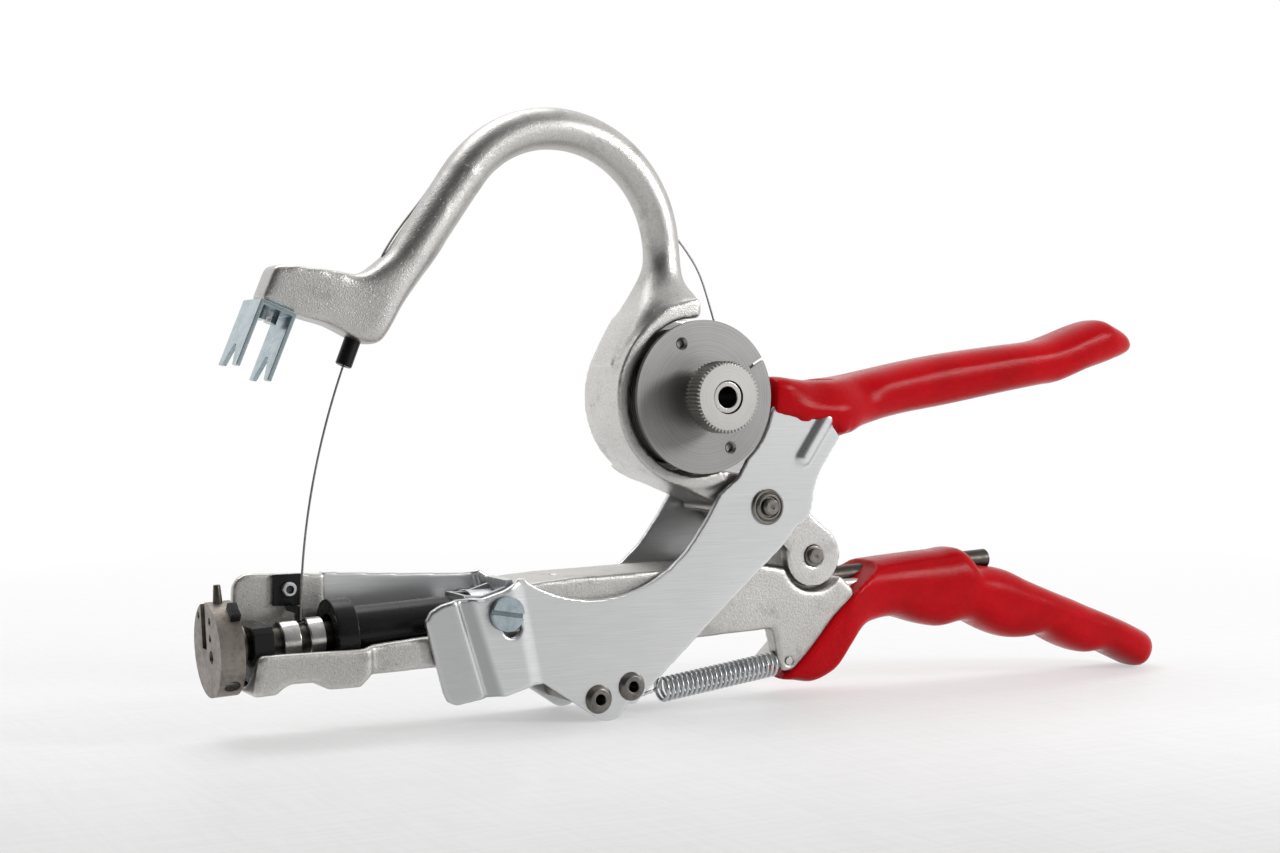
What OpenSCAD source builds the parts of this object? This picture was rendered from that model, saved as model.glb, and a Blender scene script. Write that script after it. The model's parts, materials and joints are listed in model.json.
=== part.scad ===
// Vine wire-tying plier: a swinging arm carries a wire spool over a beam that holds a twisting head.

/* [Side plates] */
// Sheet thickness of the two side plates
plate_t = 2; // [1.6:0.1:2.2]
// Clear width between the side plates
plate_gap = 27; // [27:0.2:29]
// Head diameter of the hollow rivets at the plate tips
rivet_head_d = 8.5; // [7.5:0.1:9]
// Bore of the hollow rivets
rivet_bore_d = 3; // [2:0.1:3.4]
// Rib height of the stamped bead beside the upper grip
bead_h = 0.8; // [0.4:0.1:1.2]

/* [Pivots and screws] */
// Diameter of the link pin between plates and arm
link_d = 5; // [4:0.1:6]
// Diameter of the pin that the arm swings on
pivot_d = 6; // [5:0.1:6.4]
// Shank diameter of the two slide screws
screw_d = 5; // [4:0.1:5]
// Head diameter of the two slide screws
screw_head_d = 9.4; // [8.6:0.1:10]

/* [Twisting head] */
// Diameter of the slotted head disc
head_d = 25; // [24:0.1:26]
// Thickness of the slotted head disc
head_t = 6.5; // [6:0.1:7]
// Width of the wire slot in the head disc
head_slot_w = 4; // [3:0.1:4.4]
// Shaft diameter in the beam
shaft_d = 8; // [7.8:0.1:8.6]
// Diameter of the rear rod over the lower handle
rod_d = 6; // [5:0.1:6]
// Diameter of the two bright bands on the shaft
band_d = 11.2; // [10.4:0.1:11.4]

/* [Drive slide] */
// Outside diameter of the drive sleeve
sleeve_d = 14.5; // [14:0.1:15]
// Outside diameter of the front collar
collar_d = 20; // [18:0.1:20.4]
// Forward travel of the slide, one full turn of the head
slide_travel = 5.6; // [5:0.1:6]

/* [Arm] */
// Thickness of the gooseneck
arm_d = 12.2; // [11:0.1:13]
// Centre line radius of the gooseneck arch
arch_r = 33; // [32:0.5:34]
// Width of the fork sheet under the nose
fork_w = 16; // [13:0.5:18]
// Length of the fork legs
fork_leg = 18.6; // [16:0.2:20]
// Diameter of the wire nozzle
nozzle_d = 5.3; // [4.6:0.1:6]

/* [Spool] */
// Flange diameter of the wire spool
flange_d = 44; // [42:0.2:44.4]
// Wire diameter
wire_d = 0.6; // [0.5:0.05:0.65]
// Diameter of the knurled knob
knob_d = 20.4; // [18:0.2:24]
// Length of the knurled knob
knob_len = 7.2; // [6:0.2:10]
// Through bore of the hollow spool axle
axle_bore_d = 6; // [5:0.1:6.6]

/* [Return spring] */
// Outside diameter of the return spring
spring_od = 7.3; // [6.6:0.1:7.6]
// Wire diameter of the return spring
spring_wire = 1; // [0.8:0.05:1.05]

/* [Hidden] */
$fn = 48;

run_fit = 0.05;
seat_gap = 0.02;
side_gap = 0.5;
face_gap = 0.3;
cut = 1;
edge_step = 0.03;

// Key points in the plane of the plates, x towards the handles and z up from the floor
beam_tilt = 3.07;
head_at = [-127.7, 25];
screw_at = [-50, 32];
link_at = [33.8, 58.5];
pivot_at = [52.2, 43.2];
spool_at = [12.4, 90.6];
rivets_at = [[-21.3, 6.4], [-10.9, 9.3]];
arm_swing = 22;
plate_turn = 8;
axis_dir = [cos(beam_tilt), sin(beam_tilt)];

half_gap = plate_gap / 2;
plate_out = half_gap + plate_t;
casting_half = half_gap - side_gap;
beam_half = casting_half - 0.6;
trough_half = beam_half - 0.6;
cheek_out = casting_half - 1;
rib_half = 7.2;
cheek_in = rib_half + face_gap;
screw_head_t = 2;
flap_joggle = 0.8;
screw_seat = plate_out + flap_joggle + face_gap;
screw_out = screw_seat + screw_head_t;
pin_out = plate_out + 3;

// Distance along the spindle axis from the front face of the head
function along(x) = (x - head_at[0]) / axis_dir[0];
function axis_z(x) = head_at[1] + (x - head_at[0]) * tan(beam_tilt);
function turned(p, a) = [p[0] * cos(a) - p[1] * sin(a), p[0] * sin(a) + p[1] * cos(a)];
function unit(v) = v / norm(v);
function flat(p, y) = [p[0], y, p[1]];

// Path of the slide screw seen from the plate while the handles close
function link_now(t) = pivot_at + turned(link_at - pivot_at, arm_swing * t);
function screw_now(t) = screw_at - slide_travel * t * axis_dir;
function slot_point(t) = link_at + turned(screw_now(t) - link_now(t), plate_turn * t);

module y_cyl(d, y0, y1, p) {
    translate([p[0], y0, p[1]])
        rotate([-90, 0, 0])
            cylinder(d = d, h = y1 - y0);
}

module y_cone(d0, d1, y0, y1, p) {
    translate([p[0], y0, p[1]])
        rotate([-90, 0, 0])
            cylinder(d1 = d0, d2 = d1, h = y1 - y0);
}

module xz_plate(y0, y1) {
    translate([0, y1, 0])
        rotate([90, 0, 0])
            linear_extrude(y1 - y0)
                children();
}

module both_sides() {
    children();
    mirror([0, 1, 0])
        children();
}

module on_axis() {
    translate([head_at[0], 0, head_at[1]])
        rotate([0, 90 - beam_tilt, 0])
            children();
}

module a_cyl(d, s0, s1) {
    on_axis()
        translate([0, 0, s0])
            cylinder(d = d, h = s1 - s0);
}

module box(lo, hi) {
    translate(lo)
        cube(hi - lo);
}

// Tube swept along a list of points, and a loft through equal rings
function tangent(p, i) = unit(p[min(i + 1, len(p) - 1)] - p[max(i - 1, 0)]);
function across(v) = unit(cross(v, abs(v[1]) < 0.8 ? [0, 1, 0] : [1, 0, 0]));
function sides(p) = [for (i = 0, n = across(tangent(p, 0)); i < len(p); i = i + 1,
    n = unit(n - (n * tangent(p, min(i, len(p) - 1))) * tangent(p, min(i, len(p) - 1)))) n];
function tube_ring(c, n, b, r, m) = [for (k = [0:m - 1]) let (a = 360 * k / m)
    c + r * (cos(a) * n + sin(a) * b)];
function tube_rings(p, d, m) = let (n = sides(p))
    [for (i = [0:len(p) - 1]) tube_ring(p[i], n[i], cross(tangent(p, i), n[i]), d / 2, m)];

module loft(rings) {
    m = len(rings[0]);
    last = len(rings) - 1;
    walls = [for (i = [0:last - 1], k = [0:m - 1]) let (j = (k + 1) % m)
        each [[i * m + k, (i + 1) * m + k, (i + 1) * m + j], [i * m + k, (i + 1) * m + j, i * m + j]]];
    first_cap = [for (k = [1:m - 2]) [0, k, k + 1]];
    last_cap = [for (k = [1:m - 2]) [last * m, last * m + k + 1, last * m + k]];
    polyhedron(points = [for (r = rings) each r], faces = concat(walls, first_cap, last_cap));
}

module tube(p, d, m) {
    loft(tube_rings(p, d, m));
}

function self_gap(p, skip, d) =
    min([for (i = [0:len(p) - 1 - skip], j = [i + skip:len(p) - 1]) norm(p[i] - p[j])]) - d;

// Rounded cross section of a grip: station is x, bottom, top, half width, squareness
grip_sides = 20;
function bend(v, e) = sign(v) * pow(abs(v), 2 / e);
function grip_ring(g) = [for (k = [0:grip_sides - 1]) let (a = 360 * (k + 0.5) / grip_sides)
    [g[0], g[3] * bend(cos(a), g[4]), (g[1] + g[2]) / 2 + (g[2] - g[1]) / 2 * bend(sin(a), g[4])]];

// Lower lever: beam, cradle for the head, pivot block and handle core in one casting
cradle_gap = 1.9;
cradle_front = head_at[0] + head_t + cradle_gap;
cradle_back = -87;
wall_top = 24.3;
trough_d = 21.2;
far_wall_in = trough_d / 2;
box_front = -42;
chamber_back = -38;
chamber_d = sleeve_d + 2.7;
bush_x = [-34, -22];
bush_d = 12;
rod_from = 36;
rod_end = 124.5;
rod_room = 12;
core_half = 7.5;
oil_hole_d = 2.5;
trunnion_d = 8;
pocket_d = 21.2;
eye_d = 14;
pin_slot_y = -9;
spring_pin_d = 2.4;
spring_pin_at = [43.4, 12.4];

cradle_outline = [[cradle_front, 13.6], [cradle_front + 0.3, 17], [-118, wall_top - 1], [-116.8, wall_top],
    [cradle_back, wall_top], [cradle_back, 17.2], [-90, 14.3], [-99, 14.2], [-101.5, 16.3],
    [-109, 16.3], [-111, 15.5], [-113, 13.7]];
far_wall_round = [-113, 38.5];
far_wall_r = 5;
far_wall_outline = [[-118, 18], [-118, 38.5], far_wall_round, far_wall_round + [0, far_wall_r], [-92, 42.7],
    [-92, 18]];
trough_outline = [[cradle_back - cut, 17.2], [cradle_back - cut, 24.9], [-71.5, 26.3],
    [box_front + cut, 26.9], [box_front + cut, 18.6]];
beam_outline = [[box_front, 18.6], [box_front, 39.4], [-30, 40.3], [10, 41.5], [30, 41.5], [36, 41],
    [43, 39.6], [62, 36.5], [66, 33], [70, 24], [67, 17.5], [62, 11.5], [57, 9.2], [42, 9.2],
    [39.8, 13.1], [38, 22.3]];
core_outline = [[58, 12], [62, 11.5], [67, 17], [73, 22.5], [80, 25.3], [90, 26], [104, 23.6], [113, 23.4],
    [124, 19.6], [142, 16.8], [158, 11.4], [168, 10], [180, 6.6], [183.5, 8.5], [178, 12.4],
    [161, 19], [144, 25.2], [132, 30.6], [122, 33.4], [113, 35.6], [66, 35], [60, 36]];
neck_foot = 28;
rod_slack = 0.6;
oil_hole_x = -28;
oil_hole_h = 12;
pin_slot = [[36, 9.7], [46.2, 15.3]];
pin_slot_half = 1.3;
spring_pin_depth = 5;
gripper_screw_d = 4;

module far_wall_side() {
    polygon(far_wall_outline);
    translate(far_wall_round)
        circle(r = far_wall_r);
}

module neck_side() {
    translate(pivot_at)
        circle(d = eye_d);
    translate([pivot_at[0] - eye_d / 2, neck_foot])
        square([eye_d, pivot_at[1] - neck_foot]);
}

module trunnion_window() {
    reach = slide_travel * axis_dir;
    w = trunnion_d / 2 + face_gap;
    translate(screw_at)
        circle(r = w);
    translate(screw_at - reach)
        circle(r = w);
    v = [0, w - edge_step];
    polygon([screw_at - v, screw_at + v, screw_at - reach + v, screw_at - reach - v]);
}

module lower_casting() {
    color([0.78, 0.79, 0.78])
        difference() {
            union() {
                xz_plate(-casting_half, casting_half)
                    polygon(cradle_outline);
                xz_plate(far_wall_in, casting_half)
                    far_wall_side();
                xz_plate(-trough_half, trough_half)
                    polygon(trough_outline);
                xz_plate(-beam_half, beam_half)
                    polygon(beam_outline);
                xz_plate(-core_half, core_half)
                    polygon(core_outline);
                xz_plate(-rib_half, rib_half)
                    neck_side();
            }
            a_cyl(trough_d, -cut, along(cradle_back));
            a_cyl(chamber_d, along(cradle_back) - cut, along(chamber_back));
            a_cyl(shaft_d + 1, along(chamber_back) - cut, along(rod_from));
            a_cyl(bush_d + 2 * seat_gap, along(bush_x[0]), along(bush_x[1]));
            a_cyl(rod_d + rod_slack, along(rod_from) - cut, along(rod_end) + cut);
            xz_plate(-half_gap, half_gap)
                trunnion_window();
            translate([oil_hole_x, 0, axis_z(oil_hole_x) + bush_d / 2 - cut])
                cylinder(d = oil_hole_d, h = oil_hole_h);
            both_sides()
                y_cyl(pocket_d, rib_half, half_gap, pivot_at);
            y_cyl(pivot_d + 2 * seat_gap, -half_gap, half_gap, pivot_at);
            box(flat(pin_slot[0], pin_slot_y - pin_slot_half), flat(pin_slot[1], pin_slot_y + pin_slot_half));
            y_cyl(spring_pin_d + 2 * seat_gap, -half_gap, pin_slot_y + spring_pin_depth, spring_pin_at);
            y_cyl(gripper_screw_d + 2 * seat_gap, far_wall_in - cut, half_gap, gripper_screw_at);
        }
}

module handle_cavity() {
    xz_plate(-beam_half, beam_half)
        polygon(beam_outline);
    xz_plate(-core_half, core_half)
        polygon(core_outline);
    a_cyl(rod_d + rod_slack, along(rod_from), along(rod_end) + rod_room);
}

lower_stations = [[38.5, 6.8, 20, 13.9, 7], [47.5, 6.5, 26, 14, 7], [57, 5.3, 34, 14.1, 7],
    [62.5, 7, 37, 14.1, 7], [65.5, 9.4, 38, 14.1, 7], [69.5, 14.3, 39, 14, 6], [74.5, 19.3, 39.5, 12.6, 4],
    [79.5, 21.8, 40, 11.8, 3.2], [89, 22.8, 41, 11.2, 2.8], [104, 20, 42.2, 11, 2.8],
    [110.5, 20.2, 42.8, 11, 2.8], [114, 19.8, 41, 11, 2.7], [117, 18.5, 37.7, 11, 2.6],
    [124, 16, 36.5, 11, 2.6], [133, 14.2, 34.3, 10.9, 2.6], [145, 12.2, 28.8, 10.7, 2.6],
    [157.5, 7.8, 24.2, 10.5, 2.6], [167, 6.5, 20.6, 10.2, 2.6], [179, 2.6, 16, 9.8, 2.5],
    [185.5, 0, 13.2, 9, 2.4], [189, 2.2, 11.5, 7, 2.3], [191.5, 4.2, 8.8, 4, 2.2], [192.5, 5.4, 7, 1.5, 2]];
grip_end = lower_stations[len(lower_stations) - 1][0];
grip_cut_half = 20;
grip_cut_outline = [[30, 0], [36, 3], [49.5, 16], [57.5, 25], [66.8, 33], [76, 38.5], [80, 50], [30, 50]];

module lower_grip() {
    color([0.78, 0.13, 0.12])
        difference() {
            loft([for (g = lower_stations) grip_ring(g)]);
            handle_cavity();
            xz_plate(-grip_cut_half, grip_cut_half)
                polygon(grip_cut_outline);
        }
}

pivot_proud = 1.6;

module arm_pivot_pin() {
    color([0.55, 0.55, 0.55])
        y_cyl(pivot_d, -cheek_out - pivot_proud, cheek_out + pivot_proud, pivot_at);
}

bearing_x = -117.8;
bearing_len = 5.2;
bearing_s = [along(bearing_x), along(bearing_x) + bearing_len];
bearing_r = trough_d / 2 - face_gap;
bearing_flat = 5.4;

module front_bearing() {
    color([0.2, 0.2, 0.21])
        difference() {
            on_axis()
                translate([0, 0, bearing_s[0]])
                    rotate([0, 0, 22.5])
                        cylinder(r = bearing_r, h = bearing_s[1] - bearing_s[0], $fn = 8);
            a_cyl(shaft_d + 2 * run_fit, bearing_s[0] - cut, bearing_s[1] + cut);
            on_axis()
                box([-trough_d, -trough_d, bearing_s[0] - cut],
                    [-bearing_flat, trough_d, bearing_s[1] + cut]);
        }
}

module rear_bush() {
    color([0.72, 0.55, 0.3])
        difference() {
            a_cyl(bush_d, along(bush_x[0]), along(bush_x[1]));
            a_cyl(shaft_d + 2 * run_fit, along(bush_x[0]) - cut, along(bush_x[1]) + cut);
        }
}

gripper_screw_at = [-102.8, 38.9];
gripper_screw_head = [5.4, 7, 2.2];
gripper_t = 1.5;
gripper_seat = far_wall_in - gripper_t;
gripper_x = [-107, -99];
gripper_z = [34.5, 43];
finger_x = [-103.3, -101.7];
finger_z = [30.9, 33, 35];
finger_y = [wire_d / 2 + face_gap, 2.6];
slot_w = 1;
slot_depth = 1;

module gripper_bracket() {
    color([0.08, 0.08, 0.08])
        difference() {
            union() {
                box([gripper_x[0], gripper_seat, gripper_z[0]], [gripper_x[1], far_wall_in, gripper_z[1]]);
                box([finger_x[0], finger_y[0], finger_z[1]],
                    [finger_x[1], gripper_seat + gripper_t / 2, finger_z[2]]);
                box([finger_x[0], finger_y[0], finger_z[0]], [finger_x[1], finger_y[1], finger_z[2]]);
            }
            y_cyl(gripper_screw_d + 2 * seat_gap, gripper_seat - cut, far_wall_in + cut, gripper_screw_at);
        }
}

module gripper_screw() {
    front = gripper_seat - gripper_screw_head[2];
    head_w = gripper_screw_head[1];
    color([0.7, 0.7, 0.7])
        difference() {
            union() {
                y_cyl(gripper_screw_d, gripper_seat - 0.1, casting_half, gripper_screw_at);
                y_cone(gripper_screw_head[0], head_w, front, gripper_seat, gripper_screw_at);
            }
            translate([gripper_screw_at[0] - head_w, front - cut, gripper_screw_at[1] - slot_w / 2])
                cube([2 * head_w, cut + slot_depth, slot_w]);
        }
}

module spring_pin() {
    color([0.6, 0.6, 0.6])
        y_cyl(spring_pin_d, -beam_half, pin_slot_y + spring_pin_depth, spring_pin_at);
}

// Return spring: close wound coil with an eye on the leg pin and a separate hooked front end
spring_curls = 24;
spring_front = [0.6, 6.4];
spring_back = [38.6, 11.4];
spring_r = (spring_od - spring_wire) / 2;
spring_u = unit(spring_back - spring_front);
spring_len = norm(spring_back - spring_front);
rings_per_curl = 8;
eye_r = spring_pin_d / 2 + 0.25 + spring_wire / 2;

function spring_at(s, r, a) = let (v = [-spring_u[1], spring_u[0]],
    p = spring_front + s * spring_u + r * cos(a) * v) [p[0], pin_slot_y + r * sin(a), p[1]];
spring_coil = [for (i = [0:spring_curls * rings_per_curl])
    spring_at(spring_len * i / (spring_curls * rings_per_curl), spring_r, 360 * i / rings_per_curl)];
spring_eye = [for (a = [100:-40:-140])
    [spring_pin_at[0] + eye_r * cos(a), pin_slot_y, spring_pin_at[1] + eye_r * sin(a)]];
spring_path = concat([spring_at(-spring_wire, 0, 0), spring_at(0.2, 0.8, 0), spring_at(0.5, 2, -8)],
    [for (p = spring_coil) p + [spring_wire, 0, 0]],
    [spring_at(spring_len + 2.6, 2.2, 16)], spring_eye);
echo(spring_gap = self_gap(spring_path, 5, spring_wire));

module return_spring() {
    color([0.75, 0.75, 0.73])
        tube(spring_path, spring_wire, 6);
}

hook_slack = 0.75;
spacer_d = 6;
hook_r = spacer_d / 2 + hook_slack + spring_wire / 2;
hook_bend = [for (a = [-60:-30:-270])
    [rivets_at[1][0] + hook_r * cos(a), pin_slot_y, rivets_at[1][1] + hook_r * sin(a)]];
hook_lead = [spring_at(-spring_wire - 0.6, 0, 0), spring_at(-3.2, 0, 0), spring_at(-4.8, -0.3, 0)];
hook_path = concat(hook_lead, hook_bend);

module spring_hook() {
    color([0.75, 0.75, 0.73])
        tube(hook_path, spring_wire, 8);
}

// Drive slide: sleeve with collar, yoke with trunnions, nut on the twisted bar
sleeve_bore = 11.8;
sleeve_x = [-92, -43];
collar_x = [-95, -89];
yoke_x = [-54.5, -45.5];
nut_x = [-66, -58];
sleeve_s = [along(sleeve_x[0]), along(sleeve_x[1])];
collar_s = [along(collar_x[0]), along(collar_x[1])];
yoke_s = [along(yoke_x[0]), along(yoke_x[1])];
nut_s = [along(nut_x[0]), along(nut_x[1])];
yoke_gap = 0.4;
trunnion_root = sleeve_d / 2 - 3;
bar_s = [nut_s[0] - slide_travel - 2, nut_s[1] + 2];
bar_side = 5.4;
bar_gap = 0.35;
bar_turn = 360 / slide_travel;
screw_slot_w = 1.3;
screw_slot_turn = 10;
saddle_t = 1.2;
saddle_y = -cheek_out;
saddle_mid = 0;
saddle_top = [[-60.5, 37], [-55, 36.7], [-48, 38.8], [-46, 39.6]];
saddle_cheek = concat(saddle_top, [[-45.7, 36], [-46, 29], [-54, 29], [-57, 32.5], [-60.5, 33]]);
saddle_bars = [[[-60.5, 37], [-59, 36.9], [-59, 34], [-60.5, 34]],
    [[-48, 40.6], [-46, 40.8], [-46, 38], [-48, 37.4]]];

module twisted(side, s0, s1) {
    turn = bar_turn * (s1 - s0);
    on_axis()
        translate([0, 0, s0])
            rotate([0, 0, -bar_turn * s0])
                linear_extrude(s1 - s0, twist = turn, slices = ceil(turn / 15), $fn = 4)
                    square(side, center = true);
}

module drive_sleeve() {
    color([0.07, 0.07, 0.07])
        difference() {
            a_cyl(sleeve_d, sleeve_s[0], sleeve_s[1]);
            a_cyl(sleeve_bore, sleeve_s[0] - cut, sleeve_s[1] + cut);
        }
}

module sleeve_collar() {
    color([0.1, 0.1, 0.1])
        difference() {
            a_cyl(collar_d, collar_s[0], collar_s[1]);
            a_cyl(sleeve_bore, collar_s[0] - cut, collar_s[1] + cut);
            a_cyl(sleeve_d + 2 * seat_gap, sleeve_s[0], collar_s[1] + cut);
        }
}

module slide_yoke() {
    color([0.5, 0.5, 0.5])
        difference() {
            union() {
                a_cyl(chamber_d - 2 * yoke_gap, yoke_s[0], yoke_s[1]);
                both_sides()
                    y_cyl(trunnion_d, trunnion_root, half_gap - face_gap, screw_at);
                xz_plate(saddle_y, saddle_y + saddle_t)
                    polygon(saddle_cheek);
                xz_plate(saddle_mid, saddle_mid + saddle_t)
                    polygon(concat(saddle_top, [saddle_bars[1][2], saddle_bars[0][3]]));
                xz_plate(saddle_y, saddle_mid + saddle_t)
                    for (bar = saddle_bars)
                        polygon(bar);
            }
            a_cyl(sleeve_d + 2 * seat_gap, sleeve_s[0], sleeve_s[1]);
            both_sides()
                y_cyl(screw_d + 2 * seat_gap, trunnion_root - cut, half_gap, screw_at);
        }
}

module slide_screws() {
    color([0.62, 0.62, 0.6])
        both_sides()
            difference() {
                union() {
                    y_cyl(screw_d, sleeve_d / 2 + 0.3, screw_seat, screw_at);
                    y_cyl(screw_head_d, screw_seat, screw_out, screw_at);
                }
                translate([screw_at[0], screw_out - slot_depth, screw_at[1]])
                    rotate([0, screw_slot_turn, 0])
                        translate([-screw_head_d, 0, -screw_slot_w / 2])
                            cube([2 * screw_head_d, slot_depth + cut, screw_slot_w]);
            }
}

module drive_nut() {
    color([0.72, 0.55, 0.3])
        difference() {
            a_cyl(sleeve_bore - 2 * seat_gap, nut_s[0], nut_s[1]);
            twisted(bar_side + 2 * bar_gap, nut_s[0] - 0.5, nut_s[1] + 0.5);
        }
}

// Twister: slotted head, shaft with twisted bar, rear rod and bands
hub_d = 12;
hub_s = 9;
journal_d = shaft_d - 2;
journal_from = 2.5;
head_bolt_d = 4.2;
head_bolt_turn = 44.2;
head_bolt_s = head_t / 2 + 0.4;
head_bolt_sink = 1.5;
head_bolt_out = head_d / 2 - head_bolt_sink;
head_bolt_tip = journal_d / 2 + 0.1;
slot_y = 2.4;
slot_reach = 5;
slot_end = head_d / 2 - slot_reach;
groove_depth = 2;
key_turn = 142;
key_w = 5;
key_depth = 3;
key_r = head_d / 2 - key_depth;
key_long = 2.6;
key_proud = 1.8;
// Pits in the face of the head: down, across, diameter, depth
pits = [[-8.4, 6.9, 2, 1.3], [-7.8, -3.3, 2.2, 1.2], [-3.3, -3, 2.2, 0.8], [1.5, -3.4, 3.5, 1.3]];
head_pin_d = 2.4;
head_pin_y = -1.6;
head_pin_depth = 3.9;
head_pin_len = 4.6;
head_pin_tip = [1.8, 3.8];
head_pin_s = head_t / 2 - 0.25;

module bolt_frame(turn) {
    on_axis()
        translate([0, 0, head_bolt_s])
            rotate([0, 0, turn])
                rotate([0, 90, 0])
                    children();
}

module key_frame() {
    on_axis()
        rotate([0, 0, -key_turn])
            children();
}

module twister_head() {
    color([0.42, 0.38, 0.33])
        difference() {
            union() {
                a_cyl(head_d, 0, head_t);
                a_cyl(hub_d, head_t - cut, hub_s);
            }
            a_cyl(journal_d + 2 * seat_gap, journal_from, hub_s + cut);
            on_axis()
                box([-head_d, slot_y - head_slot_w / 2, -cut],
                    [-slot_end, slot_y + head_slot_w / 2, head_t + cut]);
            on_axis()
                translate([-slot_end, slot_y, -cut])
                    cylinder(d = head_slot_w, h = head_t + 2 * cut);
            on_axis()
                box([-head_d, slot_y - head_slot_w / 2, -cut], [0, slot_y + head_slot_w / 2, groove_depth]);
            key_frame()
                box([key_r, -key_w / 2 - 0.1, head_t - key_long], [head_d, key_w / 2 + 0.1, head_t + cut]);
            for (turn = [-head_bolt_turn, head_bolt_turn])
                bolt_frame(turn)
                    translate([0, 0, head_bolt_tip - 0.6])
                        cylinder(d = head_bolt_d + 2 * seat_gap, h = head_d);
            on_axis()
                for (p = pits)
                    translate([p[0], p[1], -cut])
                        cylinder(d = p[2], h = p[3] + cut);
            on_axis()
                translate([-head_d / 2 - cut, head_pin_y, head_pin_s])
                    rotate([0, 90, 0])
                        cylinder(d = head_pin_d + 2 * seat_gap, h = head_pin_depth + cut + 0.1);
        }
}

module head_pin() {
    color([0.75, 0.75, 0.72])
        on_axis()
            translate([-head_d / 2 + head_pin_depth, head_pin_y, head_pin_s])
                rotate([0, -90, 0])
                    union() {
                        cylinder(d = head_pin_d, h = head_pin_len);
                        translate([0, 0, head_pin_len])
                            cylinder(d1 = head_pin_d, d2 = head_pin_tip[0], h = head_pin_tip[1]);
                    }
}

module head_key() {
    color([0.06, 0.06, 0.06])
        key_frame()
            box([key_r, -key_w / 2, head_t - key_long], [head_d / 2 + key_proud, key_w / 2, head_t]);
}

module head_screws() {
    color([0.3, 0.3, 0.3])
        for (turn = [-head_bolt_turn, head_bolt_turn])
            bolt_frame(turn)
                difference() {
                    translate([0, 0, head_bolt_tip])
                        cylinder(d = head_bolt_d, h = head_bolt_out - head_bolt_tip);
                    translate([-head_bolt_d, -slot_w / 2, head_bolt_out - slot_depth])
                        cube([2 * head_bolt_d, slot_w, slot_depth + cut]);
                }
}

module twister_shaft() {
    color([0.5, 0.48, 0.45])
        union() {
            a_cyl(journal_d, journal_from, hub_s + cut);
            a_cyl(shaft_d, hub_s, bar_s[0] + 0.1);
            twisted(bar_side, bar_s[0], bar_s[1]);
            a_cyl(shaft_d, bar_s[1] - 0.1, along(rod_from) - 0.5);
            a_cyl(rod_d, along(rod_from) - cut, along(rod_end));
        }
}

bands_x = [[-108.6, -103.7], [-101.3, -96.8]];

module shaft_bands() {
    color([0.82, 0.82, 0.8])
        for (x = bands_x)
            difference() {
                a_cyl(band_d, along(x[0]), along(x[1]));
                a_cyl(shaft_d + 2 * seat_gap, along(x[0]) - cut, along(x[1]) + cut);
            }
}

// Side plates: outline in the plane of the sheet
tip_r = 6;
tip_at = [-18, 6];
sweep_at = [-22, 74.1];
sweep_r = 39.8;
spool_clear_r = flange_d / 2 + 1.4;
plate_end = 66;
tail_y = [7, 9];
tail_z = [82.6, 91.8];
plate_outline = [[-46, 41], [-44.5, 41.5], [0.8, 41.2], [6.8, 46.5], [13.2, 54.8], [18, 62.5], [24, 67],
    [36.5, 88], [38.5, 92], [plate_end, 92], [plate_end, 82], [59.5, 79], [53, 73.3], [50, 67.5],
    [49.3, 60], [48, 57], [40, 47.5], [25.5, 35], [-10, 4], tip_at, [-21.6, 1.2], [-38, 12]];
flap_outline = [[-44, 41.3], [-46.6, 40.2], [-49.8, 38.3], [-56.2, 36.4], [-60, 36.5], [-64, 36.3],
    [-68.2, 35.1], [-71, 33.3], [-72.4, 30.5], [-67, 11],
    [-65.8, 8.6], [-63.5, 7.6], [-55, 9.3], [-49.5, 9.2], [-40.5, 11.8], [-36, 12.3]];
far_sheet_end = -91;
far_sheet_outline = [[-44, 41.3], [-50, 40.6], [-70, 41.5], [far_sheet_end, 42.7], [far_sheet_end, 28],
    [-60, 22], [-46, 12], [-36, 12.3]];
far_lip = [far_sheet_end - 0.6, far_sheet_end + 1.4];
far_lip_z = [28, 42.6];
far_lip_out = 1.6;
tail_outline = [[plate_end - 2, tail_z[0]], [75, 84.6], [91, 88.2], [128, 94.4], [150, 98], [165, 103],
    [165, 108.5], [150, 104.8], [128, 101], [91, 96.2], [75, 93.2], [plate_end - 2, tail_z[1]]];
bead_from = [45.5, 71];
bead_to = [53, 81];
bead_r = 1.5;

module plate_side() {
    difference() {
        union() {
            polygon(plate_outline);
            translate(tip_at)
                circle(r = tip_r);
        }
        translate(sweep_at)
            circle(r = sweep_r);
        translate(spool_at)
            circle(r = spool_clear_r);
        for (p = rivets_at)
            translate(p)
                circle(d = rivet_tube_d + 2 * seat_gap);
        translate(link_at)
            circle(d = link_d + 2 * seat_gap);
    }
}

module screw_slot() {
    w = screw_d / 2 + 0.3;
    steps = 4;
    p = [for (i = [0:steps]) slot_point(i / steps)];
    u = [for (i = [0:steps]) unit(p[min(i + 1, steps)] - p[max(i - 1, 0)])];
    v = w - edge_step;
    left = [for (i = [0:steps]) p[i] + v * [-u[i][1], u[i][0]]];
    right = [for (i = [steps:-1:0]) p[i] - v * [-u[i][1], u[i][0]]];
    polygon(concat(left, right));
    translate(p[0])
        circle(r = w);
    translate(p[steps])
        circle(r = w);
}

module flap_side() {
    difference() {
        polygon(flap_outline);
        screw_slot();
    }
}

module far_sheet_side() {
    difference() {
        polygon(far_sheet_outline);
        screw_slot();
    }
}

module near_plate_raw() {
    xz_plate(half_gap, plate_out)
        plate_side();
    xz_plate(tail_y[0], tail_y[1])
        polygon(tail_outline);
    plate_jog();
}

module plate_jog() {
    box([plate_end - plate_t, tail_y[0], tail_z[0]], [plate_end, plate_out, tail_z[1]]);
}

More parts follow.
